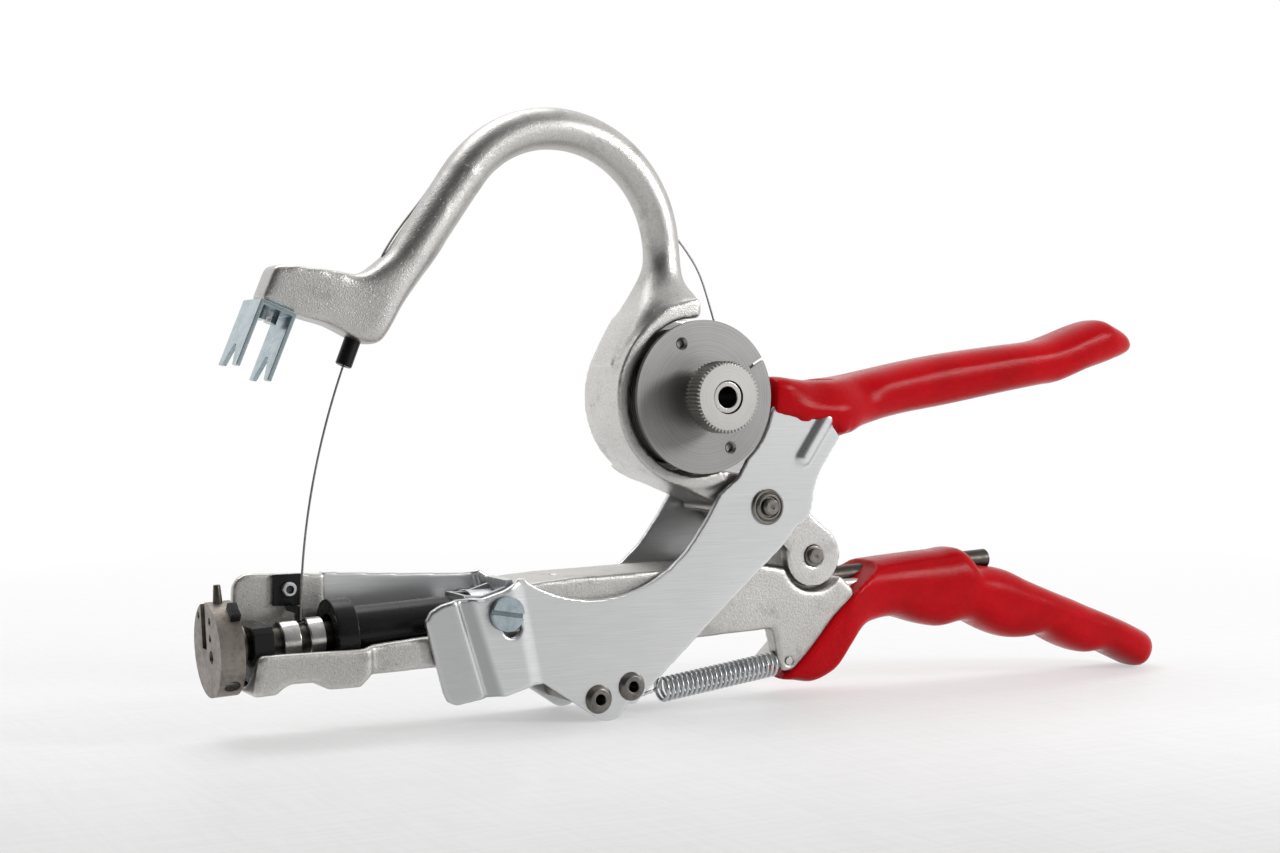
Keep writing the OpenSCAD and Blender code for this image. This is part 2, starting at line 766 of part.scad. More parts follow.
module bead() {
    u = unit(bead_to - bead_from);
    w = bead_r * [-u[1], u[0]];
    xz_plate(plate_out - plate_t / 10, plate_out + bead_h)
        union() {
            polygon([bead_from - w, bead_to - w, bead_to + w, bead_from + w]);
            translate(bead_from)
                circle(r = bead_r);
            translate(bead_to)
                circle(r = bead_r);
        }
}

module near_plate() {
    color([0.8, 0.8, 0.8])
        mirror([0, 1, 0]) {
            near_plate_raw();
            bead();
            xz_plate(half_gap + flap_joggle, plate_out + flap_joggle)
                flap_side();
        }
}

module far_plate() {
    color([0.8, 0.8, 0.8])
        union() {
            near_plate_raw();
            bead();
            xz_plate(half_gap + flap_joggle, plate_out + flap_joggle)
                far_sheet_side();
            box([far_lip[0], half_gap + flap_joggle, far_lip_z[0]],
                [far_lip[1], plate_out + far_lip_out, far_lip_z[1]]);
        }
}

upper_front = spool_at[0] + flange_d / 2 + 1.9;
upper_stations = [[upper_front, 86.8, 96.6, 16.8, 6], [44, 85.6, 98, 17.2, 6], [51, 84.6, 96.8, 17.2, 6],
    [60, 82.8, 96.4, 17.2, 6], [66, 81.2, 96.6, 17.1, 6], [68.5, 79.6, 96.8, 16.4, 5],
    [71.5, 78.9, 97.3, 14, 4], [75, 80.7, 98, 12.6, 3.2], [81.5, 83.4, 99.2, 11.6, 2.8],
    [91, 85.2, 101, 11, 2.7], [107, 87.7, 103.7, 10.8, 2.7], [128, 91.3, 106.3, 10.6, 2.7],
    [143, 93.7, 108, 10.5, 2.7],
    [150.5, 94.8, 110, 10.5, 2.7], [161.5, 98.6, 113.7, 10.4, 2.7], [168, 100.4, 115.2, 10, 2.6],
    [172, 101.6, 113.9, 9.4, 2.5], [177.5, 103.3, 111.6, 7.5, 2.3], [180.5, 104.6, 109, 5, 2.2],
    [182, 105.6, 107.4, 2, 2]];
mouth_from = 30;
mouth_z = [70, 110];
spacer_outline = [[72, 85], [91, 89], [128, 95.2], [150, 98.8], [163, 103.2], [163, 107.2], [150, 104],
    [128, 100.2], [91, 95.4], [72, 91.8]];

module upper_grip() {
    color([0.78, 0.13, 0.12])
        difference() {
            loft([for (g = upper_stations) grip_ring(g)]);
            both_sides()
                xz_plate(half_gap, plate_out)
                    plate_side();
            both_sides()
                plate_jog();
            both_sides()
                bead();
            xz_plate(-tail_y[1], tail_y[1])
                polygon(tail_outline);
            box([mouth_from, -tail_y[1], mouth_z[0]], [plate_end - plate_t, tail_y[1], mouth_z[1]]);
        }
}

module handle_spacer() {
    color([0.6, 0.6, 0.6])
        xz_plate(-tail_y[0], tail_y[0])
            polygon(spacer_outline);
}

rivet_tube_d = 4.6;
rivet_head_t = 1.5;
rivet_face_d = rivet_head_d - 2.4;
washer_d = [10.5, 8.5];
washer_t = 1.4;

module tip_rivets() {
    color([0.75, 0.75, 0.73])
        for (p = rivets_at)
            difference() {
                union() {
                    y_cyl(rivet_tube_d, -plate_out - rivet_head_t / 2, plate_out + rivet_head_t / 2, p);
                    y_cyl(spacer_d, -half_gap, half_gap, p);
                    both_sides()
                        y_cone(rivet_head_d, rivet_face_d, plate_out, plate_out + rivet_head_t, p);
                }
                y_cyl(rivet_bore_d, -pin_out, pin_out, p);
            }
}

module link_pin() {
    color([0.6, 0.6, 0.6])
        y_cyl(link_d, -pin_out, pin_out, link_at);
}

module link_washers() {
    color([0.7, 0.7, 0.7])
        both_sides()
            difference() {
                y_cone(washer_d[0], washer_d[1], plate_out, plate_out + washer_t, link_at);
                y_cyl(link_d + 2 * seat_gap, plate_out - cut, pin_out, link_at);
            }
}

// Arm: gooseneck, nose, spool housing and tail strap in one casting
neck_x = 5;
arch_at = [neck_x - arch_r, 133.4];
leg_slope = 55.3;
arch_from = 5;
leg_turn = 90 + leg_slope;
leg_len = 46;
leg_out = [cos(leg_turn), sin(leg_turn)];
leg_dir = [-cos(leg_slope), -sin(leg_slope)];
leg_top = arch_at + arch_r * leg_out;
nose_at = leg_top + leg_len * leg_dir;
knuckle = 0.3;
nose_half = 5.5;
flare_half = nose_half + 0.6;
ring_in = flange_d / 2 + 0.6;
ring_out = ring_in + 3.6;
ring_cover = 4;
ring_open = 70;
back_r = ring_in - 0.6;
ring_y = [-12.6, 9];
back_y = 6.5;
strap_low = 4;
strap_high = 9;
cheek_d = 18.4;
web_clear = 17.2;
link_dir = unit(pivot_at - link_at);
link_up = [-link_dir[1], link_dir[0]];
fork_at = nose_at + [-33.88, 2.33];
fork_slope = 22;
fork_t = 1.2;
fork_span = 10.4;
fork_screw_d = 3;
fork_screw_head = [6, 3];
fork_screw_deep = 6.5;
fork_notch = [[-5, -0.5], [-1, 6.5], [1, 6.5], [5, -0.5]];
fork_step = 0.6;
nozzle_tip = nose_at + [-8.98, -15.17];
nozzle_root = nose_at + [-6.48, -8.67];
nozzle_dir = unit(nozzle_root - nozzle_tip);
nozzle_lip = 1.5;
nozzle_stem_d = 4;
nozzle_stem = [3, 10.8];
nozzle_body = norm(nozzle_root - nozzle_tip) - 1.1;
wire_bore = 1.6;
bore_len = 40;
axle_d = 9;
link_boss_d = 11;
link_eye_r = 7;
strap_outline = [[29, 68], [22, 69], [0, 71], [-8, 70.5], [6.6, 61.3], [13, 57.9]];
web_cut = [[-2, 9], [20, 9], [20, -20], [-9.5, -20], [-9.5, -2]];
nose_outline = [[-29.28, 11.63], [-19.28, 10.83], [-9.08, 10.03], [-1.08, 11.43], [2.32, 14.63],
    [11.32, 9.63], [6.32, 0.03], [1.32, -8.17], [-1.18, -9.57], [-4.18, -9.37], [-13.68, -4.57]];
flare_outline = [[-1.6, 139], [-1, 131], [-1.2, 125], [-3.2, 119.5], [-6.4, 114.5], [-10.2, 107.5],
    [-13, 99.5], [8, 92], [19, 113.5], [18, 117], [16, 119.6], [13, 123.5], [11.6, 128],
    [11.4, 134], [10.8, 139]];

function fork_point(p) = fork_at + turned(p, -fork_slope);

module fork_frame() {
    translate([fork_at[0], 0, fork_at[1]])
        rotate([0, fork_slope, 0])
            children();
}

module nozzle_frame() {
    translate([nozzle_tip[0], 0, nozzle_tip[1]])
        rotate([0, atan2(nozzle_dir[0], nozzle_dir[1]), 0])
            children();
}

module arch_frame(a) {
    translate([arch_at[0], 0, arch_at[1]])
        rotate([90, 0, 0])
            rotate([0, 0, a])
                children();
}

module nose_side() {
    polygon(concat([fork_point([0.6, 0]), fork_point([0.8, 2.6])], [for (p = nose_outline) nose_at + p],
        [fork_point([fork_span, 0])]));
}

module ring_side(inside) {
    difference() {
        translate(spool_at)
            circle(r = ring_out);
        translate(spool_at)
            circle(r = inside);
        translate(spool_at)
            polygon(concat([[0, 0]],
                [for (a = [-ring_open:ring_open / 2:ring_open]) 2 * ring_out * [cos(a), sin(a)]]));
    }
}

module tail_strap() {
    low = -strap_low * link_up;
    high = strap_high * link_up;
    polygon(concat([link_at + low, pivot_at + low, pivot_at + high, link_at + high - 2 * link_dir],
        strap_outline));
    translate(link_at)
        circle(r = link_eye_r);
}

module arm_casting() {
    color([0.8, 0.81, 0.8])
        difference() {
            union() {
                arch_frame(arch_from)
                    rotate_extrude(angle = leg_turn - arch_from)
                        translate([arch_r, 0])
                            circle(d = arm_d);
                arch_frame(leg_turn)
                    translate([arch_r, 0, 0])
                        rotate([-90, 0, 0])
                            cylinder(d = arm_d, h = leg_len);
                translate(flat(leg_top, 0))
                    sphere(d = arm_d + knuckle);
                xz_plate(-nose_half, nose_half)
                    nose_side();
                xz_plate(-flare_half, flare_half)
                    polygon(flare_outline);
                xz_plate(ring_y[0], back_y + 0.1)
                    ring_side(ring_in);
                xz_plate(back_y, ring_y[1])
                    ring_side(ring_in - ring_cover);
                y_cyl(2 * back_r, back_y, ring_y[1], spool_at);
                xz_plate(-cheek_out, cheek_out)
                    tail_strap();
                both_sides()
                    y_cyl(cheek_d, cheek_in, cheek_out, pivot_at);
                both_sides()
                    y_cyl(link_boss_d, cheek_out - cut, half_gap - face_gap, link_at);
            }
            y_cyl(2 * ring_in, ring_y[0] - cut, back_y, spool_at);
            y_cyl(web_clear, -cheek_in, cheek_in, pivot_at);
            xz_plate(-cheek_in, cheek_in)
                translate(pivot_at)
                    polygon(web_cut);
            y_cyl(pivot_d + 2 * run_fit, -half_gap, half_gap, pivot_at);
            y_cyl(link_d + 2 * run_fit, -half_gap, half_gap, link_at);
            y_cyl(axle_d + 2 * seat_gap, back_y - cut, ring_y[1] + cut, spool_at);
            nozzle_frame()
                cylinder(d = wire_bore, h = bore_len);
            nozzle_frame()
                translate([0, 0, nozzle_stem[0]])
                    cylinder(d = nozzle_stem_d + 2 * seat_gap, h = nozzle_stem[1] - nozzle_stem[0] + 0.2);
            fork_frame()
                translate([fork_span / 2, 0, -cut])
                    cylinder(d = fork_screw_d + 2 * seat_gap, h = fork_screw_deep + cut);
        }
}

module fork_plate() {
    color([0.72, 0.73, 0.74])
        fork_frame()
            difference() {
                union() {
                    box([0, -fork_w / 2, -fork_t], [fork_span, fork_w / 2, 0]);
                    box([0, -fork_w / 2, -fork_leg], [fork_t, fork_w / 2, 0]);
                    box([fork_span - fork_t, -fork_w / 2, -fork_leg - fork_step], [fork_span, fork_w / 2, 0]);
                }
                translate([-cut, 0, -fork_leg - fork_step])
                    rotate([90, 0, 90])
                        linear_extrude(fork_span + 2 * cut)
                            polygon(fork_notch);
                translate([fork_span / 2, 0, -fork_t - cut])
                    cylinder(d = fork_screw_d + 2 * seat_gap, h = fork_t + 2 * cut);
            }
}

module fork_screw() {
    color([0.6, 0.6, 0.6])
        fork_frame()
            translate([fork_span / 2, 0, 0])
                difference() {
                    union() {
                        translate([0, 0, -fork_t - fork_screw_head[1]])
                            cylinder(d = fork_screw_head[0], h = fork_screw_head[1]);
                        translate([0, 0, -fork_t - 0.5])
                            cylinder(d = fork_screw_d, h = fork_screw_deep + 0.5);
                    }
                    translate([-slot_w / 2, -fork_screw_head[0], -fork_t - fork_screw_head[1] - cut])
                        cube([slot_w, 2 * fork_screw_head[0], cut + slot_depth]);
                }
}

module wire_nozzle() {
    color([0.07, 0.07, 0.07])
        nozzle_frame()
            difference() {
                union() {
                    cylinder(d1 = nozzle_d - 1, d2 = nozzle_d, h = nozzle_lip);
                    translate([0, 0, nozzle_lip])
                        cylinder(d = nozzle_d, h = nozzle_body - nozzle_lip);
                    translate([0, 0, nozzle_stem[0]])
                        cylinder(d = nozzle_stem_d, h = nozzle_stem[1] - nozzle_stem[0]);
                }
                translate([0, 0, -cut])
                    cylinder(d = wire_bore, h = bore_len / 2);
            }
}

// Spool on its hollow axle
flange_y = [-16.4, -14.9];
far_flange_y = [3.9, 5.4];
hub_end = -22.2;
knob_face = hub_end - 0.1 - knob_len;
drum_d = 18;
axle_head = [14, 1.5];
flange_hub_d = 12.4;
flange_holes_at = [[-7.7, 15.1], [8.4, -14.6]];
flange_hole_d = 2.4;
flange_slit = [17, 1];
flange_slit_turn = 30;

module spool_axle() {
    color([0.6, 0.6, 0.6])
        difference() {
            union() {
                y_cyl(axle_d, knob_face + 0.4, ring_y[1] + 0.2, spool_at);
                y_cyl(axle_head[0], ring_y[1], ring_y[1] + axle_head[1], spool_at);
            }
            y_cyl(axle_bore_d, knob_face - cut, ring_y[1] + axle_head[1] + cut, spool_at);
        }
}

module spool_core() {
    color([0.72, 0.72, 0.7])
        difference() {
            union() {
                y_cyl(drum_d, flange_y[1], far_flange_y[0] + 0.1, spool_at);
                y_cyl(flange_d, far_flange_y[0], far_flange_y[1], spool_at);
            }
            y_cyl(axle_d + 2 * run_fit, flange_y[0], far_flange_y[1] + cut, spool_at);
        }
}

module near_flange() {
    color([0.74, 0.74, 0.72])
        difference() {
            union() {
                y_cyl(flange_d, flange_y[0], flange_y[1], spool_at);
                y_cyl(flange_hub_d, hub_end, flange_y[0] + 0.1, spool_at);
            }
            y_cyl(axle_d + 2 * run_fit, hub_end - cut, flange_y[1] + cut, spool_at);
            for (p = flange_holes_at)
                y_cyl(flange_hole_d, flange_y[0] - cut, flange_y[1] + cut, spool_at + p);
            translate(flat(spool_at, 0))
                rotate([0, -flange_slit_turn, 0])
                    box([flange_slit[0], flange_y[0] - cut, -flange_slit[1] / 2],
                        [flange_d, flange_y[1] + cut, flange_slit[1] / 2]);
        }
}

pack_r = flange_d / 2 - 3.1;
winding_r = pack_r + wire_d / 2 + 0.25;
winding_curls = 15;
winding_y = [-14.1, 3.2];
leave_angle = 18.5;
rings_per_loop = 24;
winding_path = [for (i = [0:winding_curls * rings_per_loop])
    let (f = i / (winding_curls * rings_per_loop), a = leave_angle - 360 * winding_curls * (1 - f))
    flat(spool_at + winding_r * [cos(a), sin(a)], winding_y[0] + (winding_y[1] - winding_y[0]) * f)];
echo(winding_gap = self_gap(winding_path, 6, wire_d));

module wire_pack() {
    color([0.3, 0.29, 0.28])
        difference() {
            y_cyl(2 * pack_r, flange_y[1] + 0.1, far_flange_y[0] - 0.1, spool_at);
            y_cyl(drum_d + 2 * seat_gap, flange_y[1], far_flange_y[0], spool_at);
        }
}

module wire_winding() {
    color([0.35, 0.34, 0.33])
        tube(winding_path, wire_d, 6);
}

knob_grooves = 40;
groove_d = 1.3;
groove_lift = 0.25;
groove_inset = 0.8;

module knob() {
    color([0.75, 0.75, 0.72])
        difference() {
            y_cyl(knob_d, knob_face, knob_face + knob_len, spool_at);
            y_cyl(axle_d + 2 * run_fit, knob_face - cut, knob_face + knob_len + cut, spool_at);
            for (k = [0:knob_grooves - 1])
                translate(flat(spool_at, 0))
                    rotate([0, 360 * k / knob_grooves, 0])
                        translate([knob_d / 2 + groove_lift, knob_face + groove_inset, 0])
                            rotate([-90, 45, 0])
                                cylinder(d = groove_d, h = knob_len - 2 * groove_inset, $fn = 4);
        }
}

// Wire from the winding over the back of the gooseneck, through the nose and down to the gripper
wire_lift = arm_d / 2 + wire_d / 2 + 0.2;
wire_side = 44;
leave_dir = [-sin(leave_angle), cos(leave_angle)];
leave_from = spool_at + (winding_r + 0.75) * [cos(leave_angle), sin(leave_angle)] + 0.8 * leave_dir;
leave_points = [[26, 2.6, 113.6], [21.6, 3, 126.4], [16.4, 3.7, 134.6], [12.2, 4.3, 140.2]];
leg_steps = [[1, 1], [10, 1], [20, 0.66], [26, 0.33], [leg_len - 14, 0]];
bore_steps = [30.8, 28.4, 18, 8, -0.4];
span_end = [-102.4, 31.4];
span_steps = 11;
span_from = nozzle_tip - 0.5 * nozzle_dir;
function beside(p, out, a) = flat(p + wire_lift * cos(a) * out, wire_lift * sin(a));
run_points = concat(
    [flat(leave_from, 3.1), flat(leave_from + 8 * leave_dir, 2.6)],
    leave_points,
    [for (a = [17:8:leg_turn - 2]) let (u = [cos(a), sin(a)]) beside(arch_at + arch_r * u, u, wire_side)],
    [for (s = leg_steps) beside(leg_top + s[0] * leg_dir, leg_out, s[1] * wire_side)],
    [for (s = bore_steps) flat(nozzle_tip + s * nozzle_dir, 0)]);
span_points = [for (i = [0:span_steps]) let (f = i / span_steps)
    [span_end[0] + (span_from[0] - span_end[0]) * pow(1 - f, 2), 0,
        span_from[1] + (span_end[1] - span_from[1]) * f]];

module wire_run() {
    color([0.45, 0.44, 0.43])
        tube(run_points, wire_d, 8);
}

module wire_span() {
    color([0.45, 0.44, 0.43])
        tube(span_points, wire_d, 8);
}

// Origin at the middle of the base
centre_x = (head_at[0] - head_d / 2 * sin(beam_tilt) + grip_end) / 2;
centre_y = (knob_face + screw_out) / 2;

module placed() {
    translate([-centre_x, -centre_y, 0])
        children();
}

placed() lower_casting();
placed() lower_grip();
placed() arm_pivot_pin();
placed() front_bearing();
placed() rear_bush();
placed() gripper_bracket();
placed() gripper_screw();
placed() spring_pin();
placed() return_spring();
placed() spring_hook();
placed() drive_sleeve();
placed() sleeve_collar();
placed() slide_yoke();
placed() slide_screws();
placed() drive_nut();
placed() twister_head();
placed() head_pin();
placed() head_key();
placed() head_screws();
placed() twister_shaft();
placed() shaft_bands();
placed() near_plate();
placed() far_plate();
placed() upper_grip();
placed() handle_spacer();
placed() tip_rivets();
placed() link_pin();
placed() link_washers();
placed() arm_casting();
placed() fork_plate();
placed() fork_screw();
placed() wire_nozzle();
placed() spool_axle();
placed() wire_run();
placed() wire_span();
placed() spool_core();
placed() near_flange();
placed() wire_pack();
placed() wire_winding();
placed() knob();
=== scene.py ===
import bmesh
import bpy
import json
import math
import numpy as np
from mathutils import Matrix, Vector


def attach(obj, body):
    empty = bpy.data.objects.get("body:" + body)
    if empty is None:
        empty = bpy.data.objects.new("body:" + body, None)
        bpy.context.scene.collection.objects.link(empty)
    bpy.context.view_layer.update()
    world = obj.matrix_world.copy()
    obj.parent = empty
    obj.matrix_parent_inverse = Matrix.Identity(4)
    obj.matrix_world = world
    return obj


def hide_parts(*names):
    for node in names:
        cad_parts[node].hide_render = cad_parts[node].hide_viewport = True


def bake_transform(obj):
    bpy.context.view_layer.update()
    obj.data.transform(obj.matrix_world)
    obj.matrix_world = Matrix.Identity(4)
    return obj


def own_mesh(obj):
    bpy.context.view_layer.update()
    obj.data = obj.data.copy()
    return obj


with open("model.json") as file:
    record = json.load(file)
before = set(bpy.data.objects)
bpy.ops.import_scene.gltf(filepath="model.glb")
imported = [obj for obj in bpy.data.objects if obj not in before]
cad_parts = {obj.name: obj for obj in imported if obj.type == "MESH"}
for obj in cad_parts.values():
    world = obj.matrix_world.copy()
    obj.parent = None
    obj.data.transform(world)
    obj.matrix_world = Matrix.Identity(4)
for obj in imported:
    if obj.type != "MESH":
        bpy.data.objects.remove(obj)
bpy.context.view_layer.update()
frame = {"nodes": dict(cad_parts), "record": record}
scene = bpy.context.scene
scene.view_settings.view_transform = "Standard"
toolCentre = Vector((32.06528, -5.45, 0.0))  # sizes are in mm, y from the middle plane, z from the floor
spoolAt = (12.4, 90.6)  # x and z of the spool's axle
across = Vector((0, 1, 0))


def at(x, y, z):
    return (Vector((x, y, z)) - toolCentre) / 1000


def mm(value):
    return value / 1000


def flat(place):
    return Vector((place[0], 0, place[1]))


def bodyOf(node):
    return next(name for name, nodes in frame["record"]["behaviour"]["bodies"].items() if node in nodes)


# camera at the photo's place
view = {"eye": (-272.157, -511.854, 95.441), "turn": 28.0, "down": 1.332, "lens": 56.25, "sensor": 36, "near": 0.01}
camData = bpy.data.cameras.new("photoCamera")
camData.lens = view["lens"]
camData.sensor_width = view["sensor"]
camData.clip_start = view["near"]
camera = bpy.data.objects.new("photoCamera", camData)
camera.location = at(*view["eye"])
camera.rotation_euler = (math.radians(90 - view["down"]), 0, math.radians(-view["turn"]))
scene.collection.objects.link(camera)
scene.camera = camera
print("camera placed")


class Sock:
    def __init__(self, tree, out=None):
        self.tree, self.out = tree, out

    def feed(self, socket, value):
        if isinstance(value, Sock):
            self.tree.links.new(value.out, socket)
        elif hasattr(value, "__len__") and len(value) == 3 and socket.type == "RGBA":
            socket.default_value = (*value, 1)
        else:
            socket.default_value = value

    def node(self, kind, settings=None, out=0, **inputs):
        made = self.tree.nodes.new(kind)
        for key, value in (settings or {}).items():
            setattr(made, key, value)
        for key, value in inputs.items():
            name = key.replace("_", " ")
            self.feed(next(s for s in made.inputs if s.name == name and s.enabled), value)
        outs = [s for s in made.outputs if s.enabled]
        return Sock(self.tree, made.outputs[out] if isinstance(out, str) else outs[out])

    def maths(self, operation, first, second):
        made = self.tree.nodes.new("ShaderNodeMath")
        made.operation = operation
        self.feed(made.inputs[0], first)
        self.feed(made.inputs[1], second)
        return Sock(self.tree, made.outputs[0])

    def __add__(self, other):
        return self.maths("ADD", self, other)

    def __radd__(self, other):
        return self.maths("ADD", other, self)

    def __sub__(self, other):
        return self.maths("SUBTRACT", self, other)

    def __rsub__(self, other):
        return self.maths("SUBTRACT", other, self)

    def __mul__(self, other):
        return self.maths("MULTIPLY", self, other)

    def __rmul__(self, other):
        return self.maths("MULTIPLY", other, self)

    def mixed(self, first, second):
        return self.node("ShaderNodeMix", {"data_type": "RGBA"}, Factor=self, A=first, B=second)


def startMaterial(name):
    made = bpy.data.materials.new(name)
    made.use_nodes = True
    return made, Sock(made.node_tree), made.node_tree.nodes["Principled BSDF"]


def objectCoords(s, scale=(1, 1, 1), turn=(0, 0, 0), place=(0, 0, 0)):
    coords = s.node("ShaderNodeTexCoord", out="Object")
    return s.node("ShaderNodeMapping", Vector=coords, Location=place, Rotation=turn, Scale=scale)


def noise(s, vector, scale, detail=3.0, rough=0.55):
    return s.node("ShaderNodeTexNoise", Vector=vector, Scale=scale, Detail=detail, Roughness=rough)


def band(s, value, low, high):
    smooth = {"interpolation_type": "SMOOTHSTEP"}
    return s.node("ShaderNodeMapRange", smooth, Value=value, From_Min=low, From_Max=high)


def attributeMask(s, name):
    return s.node("ShaderNodeAttribute", {"attribute_name": name}, out="Fac")


def bumped(s, height, strength, distance):
    return s.node("ShaderNodeBump", Height=height, Strength=strength, Distance=distance)


def shaded(colour, share):
    return [min(1, c * share) for c in colour]


def castMetal(name, colour, rough, grain):
    made, s, shader = startMaterial(name)
    here = objectCoords(s)
    cloud = noise(s, here, 45, 4)
    fine = noise(s, here, 2100, 3, 0.6)
    pits = band(s, noise(s, here, 1300, 2), 0.66, 0.74)
    stain = band(s, noise(s, here, 120, 5, 0.65), 0.52, 0.72)
    specks = noise(s, here, 1700, 2, 0.7)
    edge = attributeMask(s, "edge")
    shadeAndDarkening = attributeMask(s, "shadeAndDarkening")  # painted shade on the ring's front and the arm's front faces, and a darker gooseneck
    tone = (cloud * 0.4 + stain * 0.3 + pits * 0.5 + specks * 0.7) - edge * 0.5
    skin = band(s, tone, 0.05, 1.08).mixed(shaded(colour, 1.14), shaded(colour, 0.58))
    # the darker colour below is painted shade on the ring's front and lip, and also darkens the gooseneck
    shadeAndDarkColour = [c * k for c, k in zip(colour, (0.36, 0.34, 0.32))]
    s.feed(shader.inputs["Base Color"], shadeAndDarkening.mixed(skin, shadeAndDarkColour))
    s.feed(shader.inputs["Roughness"], rough + cloud * 0.12 + pits * 0.15 - edge * 0.1 + shadeAndDarkening * 0.12)
    shader.inputs["Metallic"].default_value = 1
    relief = fine * grain - pits * 0.8 - specks * 0.6 + cloud * 0.3
    s.feed(shader.inputs["Normal"], bumped(s, relief, 0.45, 0.00017))
    return made


def brushedMetal(name, colour, rough, turn):
    made, s, shader = startMaterial(name)
    brush = (60, 900, 5200)  # long along the strokes, short across them
    crossBrushAndShade = attributeMask(s, "crossBrushAndShade")  # flap panels that were brushed the other way, also darkened there as painted shade
    crossTurn = (turn[0], turn[1] + math.radians(75), turn[2])
    strokes = [noise(s, objectCoords(s, brush, way), 1, 3, 0.6) for way in (turn, crossTurn)]
    streak = strokes[0] * (1 - crossBrushAndShade) + strokes[1] * crossBrushAndShade
    fine = noise(s, objectCoords(s, (150, 1500, 11440), turn), 1, 2)
    cloud = noise(s, objectCoords(s), 38, 3)
    scored = noise(s, objectCoords(s, (20, 600, 2600), (turn[0], turn[1] + 0.5, 0)), 1, 1)
    scratch = band(s, scored, 0.735, 0.76)
    tone = streak * 0.7 + cloud * 0.3 - attributeMask(s, "edge") * 0.5 + scratch * 0.1
    skin = band(s, tone, 0.15, 0.85).mixed(shaded(colour, 1.1), shaded(colour, 0.84))
    # the flap's panels are darkened here: painted shade
    s.feed(shader.inputs["Base Color"], crossBrushAndShade.mixed(skin, shaded(colour, 0.52)))
    s.feed(shader.inputs["Roughness"], rough + streak * 0.16 + cloud * 0.08 - scratch * 0.08)
    shader.inputs["Metallic"].default_value = 1
    shader.inputs["Anisotropic"].default_value = 0.35
    s.feed(shader.inputs["Normal"], bumped(s, streak * 0.6 + fine * 0.4, 0.12, 0.00012))
    return made


def vinylSkin(name, colour):
    made, s, shader = startMaterial(name)
    here = objectCoords(s)
    cloud = noise(s, here, 60, 3)
    peel = noise(s, here, 520, 3, 0.5)
    grain = noise(s, here, 2200, 2)
    light = [min(1, colour[0] * 1.1), colour[1] * 1.4, colour[2] * 1.4]
    tone = cloud * 0.7 + peel * 0.3 - attributeMask(s, "edge") * 0.3
    s.feed(shader.inputs["Base Color"], band(s, tone, 0.25, 0.75).mixed(light, shaded(colour, 0.8)))
    s.feed(shader.inputs["Roughness"], 0.1 + peel * 0.14 + grain * 0.08)
    shader.inputs["Specular IOR Level"].default_value = 0.075
    s.feed(shader.inputs["Normal"], bumped(s, peel * 0.6 + grain * 0.9 + cloud * 0.4, 0.4, 0.0002))
    return made


def blackCoat(name, colour, rough):
    made, s, shader = startMaterial(name)
    here = objectCoords(s)
    cloud = noise(s, here, 130, 4)
    specks = band(s, noise(s, here, 1300, 3), 0.6, 0.72)
    worn = band(s, attributeMask(s, "edge") + noise(s, here, 320, 4) * 0.5, 0.72, 1.0)
    s.feed(shader.inputs["Base Color"], worn.mixed(colour, (0.34, 0.33, 0.32)))  # bare steel where it is rubbed
    s.feed(shader.inputs["Metallic"], worn * 0.9)
    s.feed(shader.inputs["Roughness"], rough + cloud * 0.14 + specks * 0.12)
    shader.inputs["Specular IOR Level"].default_value = 0.25
    s.feed(shader.inputs["Normal"], bumped(s, cloud * 0.5 + specks * 0.5, 0.15, 0.0001))
    return made


def platedSteel(name, colour, second, rough, mottle=0.5, grain=0.3):
    made, s, shader = startMaterial(name)
    here = objectCoords(s)
    cloud = noise(s, here, 150, 4)
    spots = noise(s, here, 700, 3, 0.6)
    fine = noise(s, here, 2400, 2)
    hollow = attributeMask(s, "hollow")  # painted shade in slots, sockets and bores
    tone = cloud * mottle + spots * (1 - mottle) - attributeMask(s, "edge") * 0.4
    skin = band(s, tone, 0.3, 0.72).mixed(colour, second)
    # slots, sockets and bores are darkened: painted shade
    s.feed(shader.inputs["Base Color"], hollow.mixed(skin, shaded(second, 0.16)))
    s.feed(shader.inputs["Roughness"], rough + spots * 0.16 + cloud * 0.06 + hollow * 0.2)
    shader.inputs["Metallic"].default_value = 1
    s.feed(shader.inputs["Normal"], bumped(s, fine * 0.5 + spots * 0.5, grain, 0.00008))
    return made


def turnedMetal(name, colour, rough, place, pitch=2600):
    made, s, shader = startMaterial(name)
    coords = objectCoords(s, place=tuple(-v for v in place))
    wide, high = [s.node("ShaderNodeSeparateXYZ", Vector=coords, out=axis) for axis in "XZ"]
    radius = s.maths("SQRT", wide * wide + high * high, 0.0)
    rings = s.node("ShaderNodeTexNoise", {"noise_dimensions": "1D"}, W=radius * pitch, Scale=1.0, Detail=3.0)
    cloud = noise(s, objectCoords(s), 70, 3)
    tone = rings * 0.6 + cloud * 0.4 - attributeMask(s, "edge") * 0.4
    skin = band(s, tone, 0.2, 0.8).mixed(shaded(colour, 1.15), shaded(colour, 0.8))
    # painted shade in the bore
    s.feed(shader.inputs["Base Color"], attributeMask(s, "hollow").mixed(skin, shaded(colour, 0.08)))
    s.feed(shader.inputs["Roughness"], rough + rings * 0.15 + cloud * 0.06)
    shader.inputs["Metallic"].default_value = 1
    s.feed(shader.inputs["Normal"], bumped(s, rings, 0.15, 0.00008))
    return made


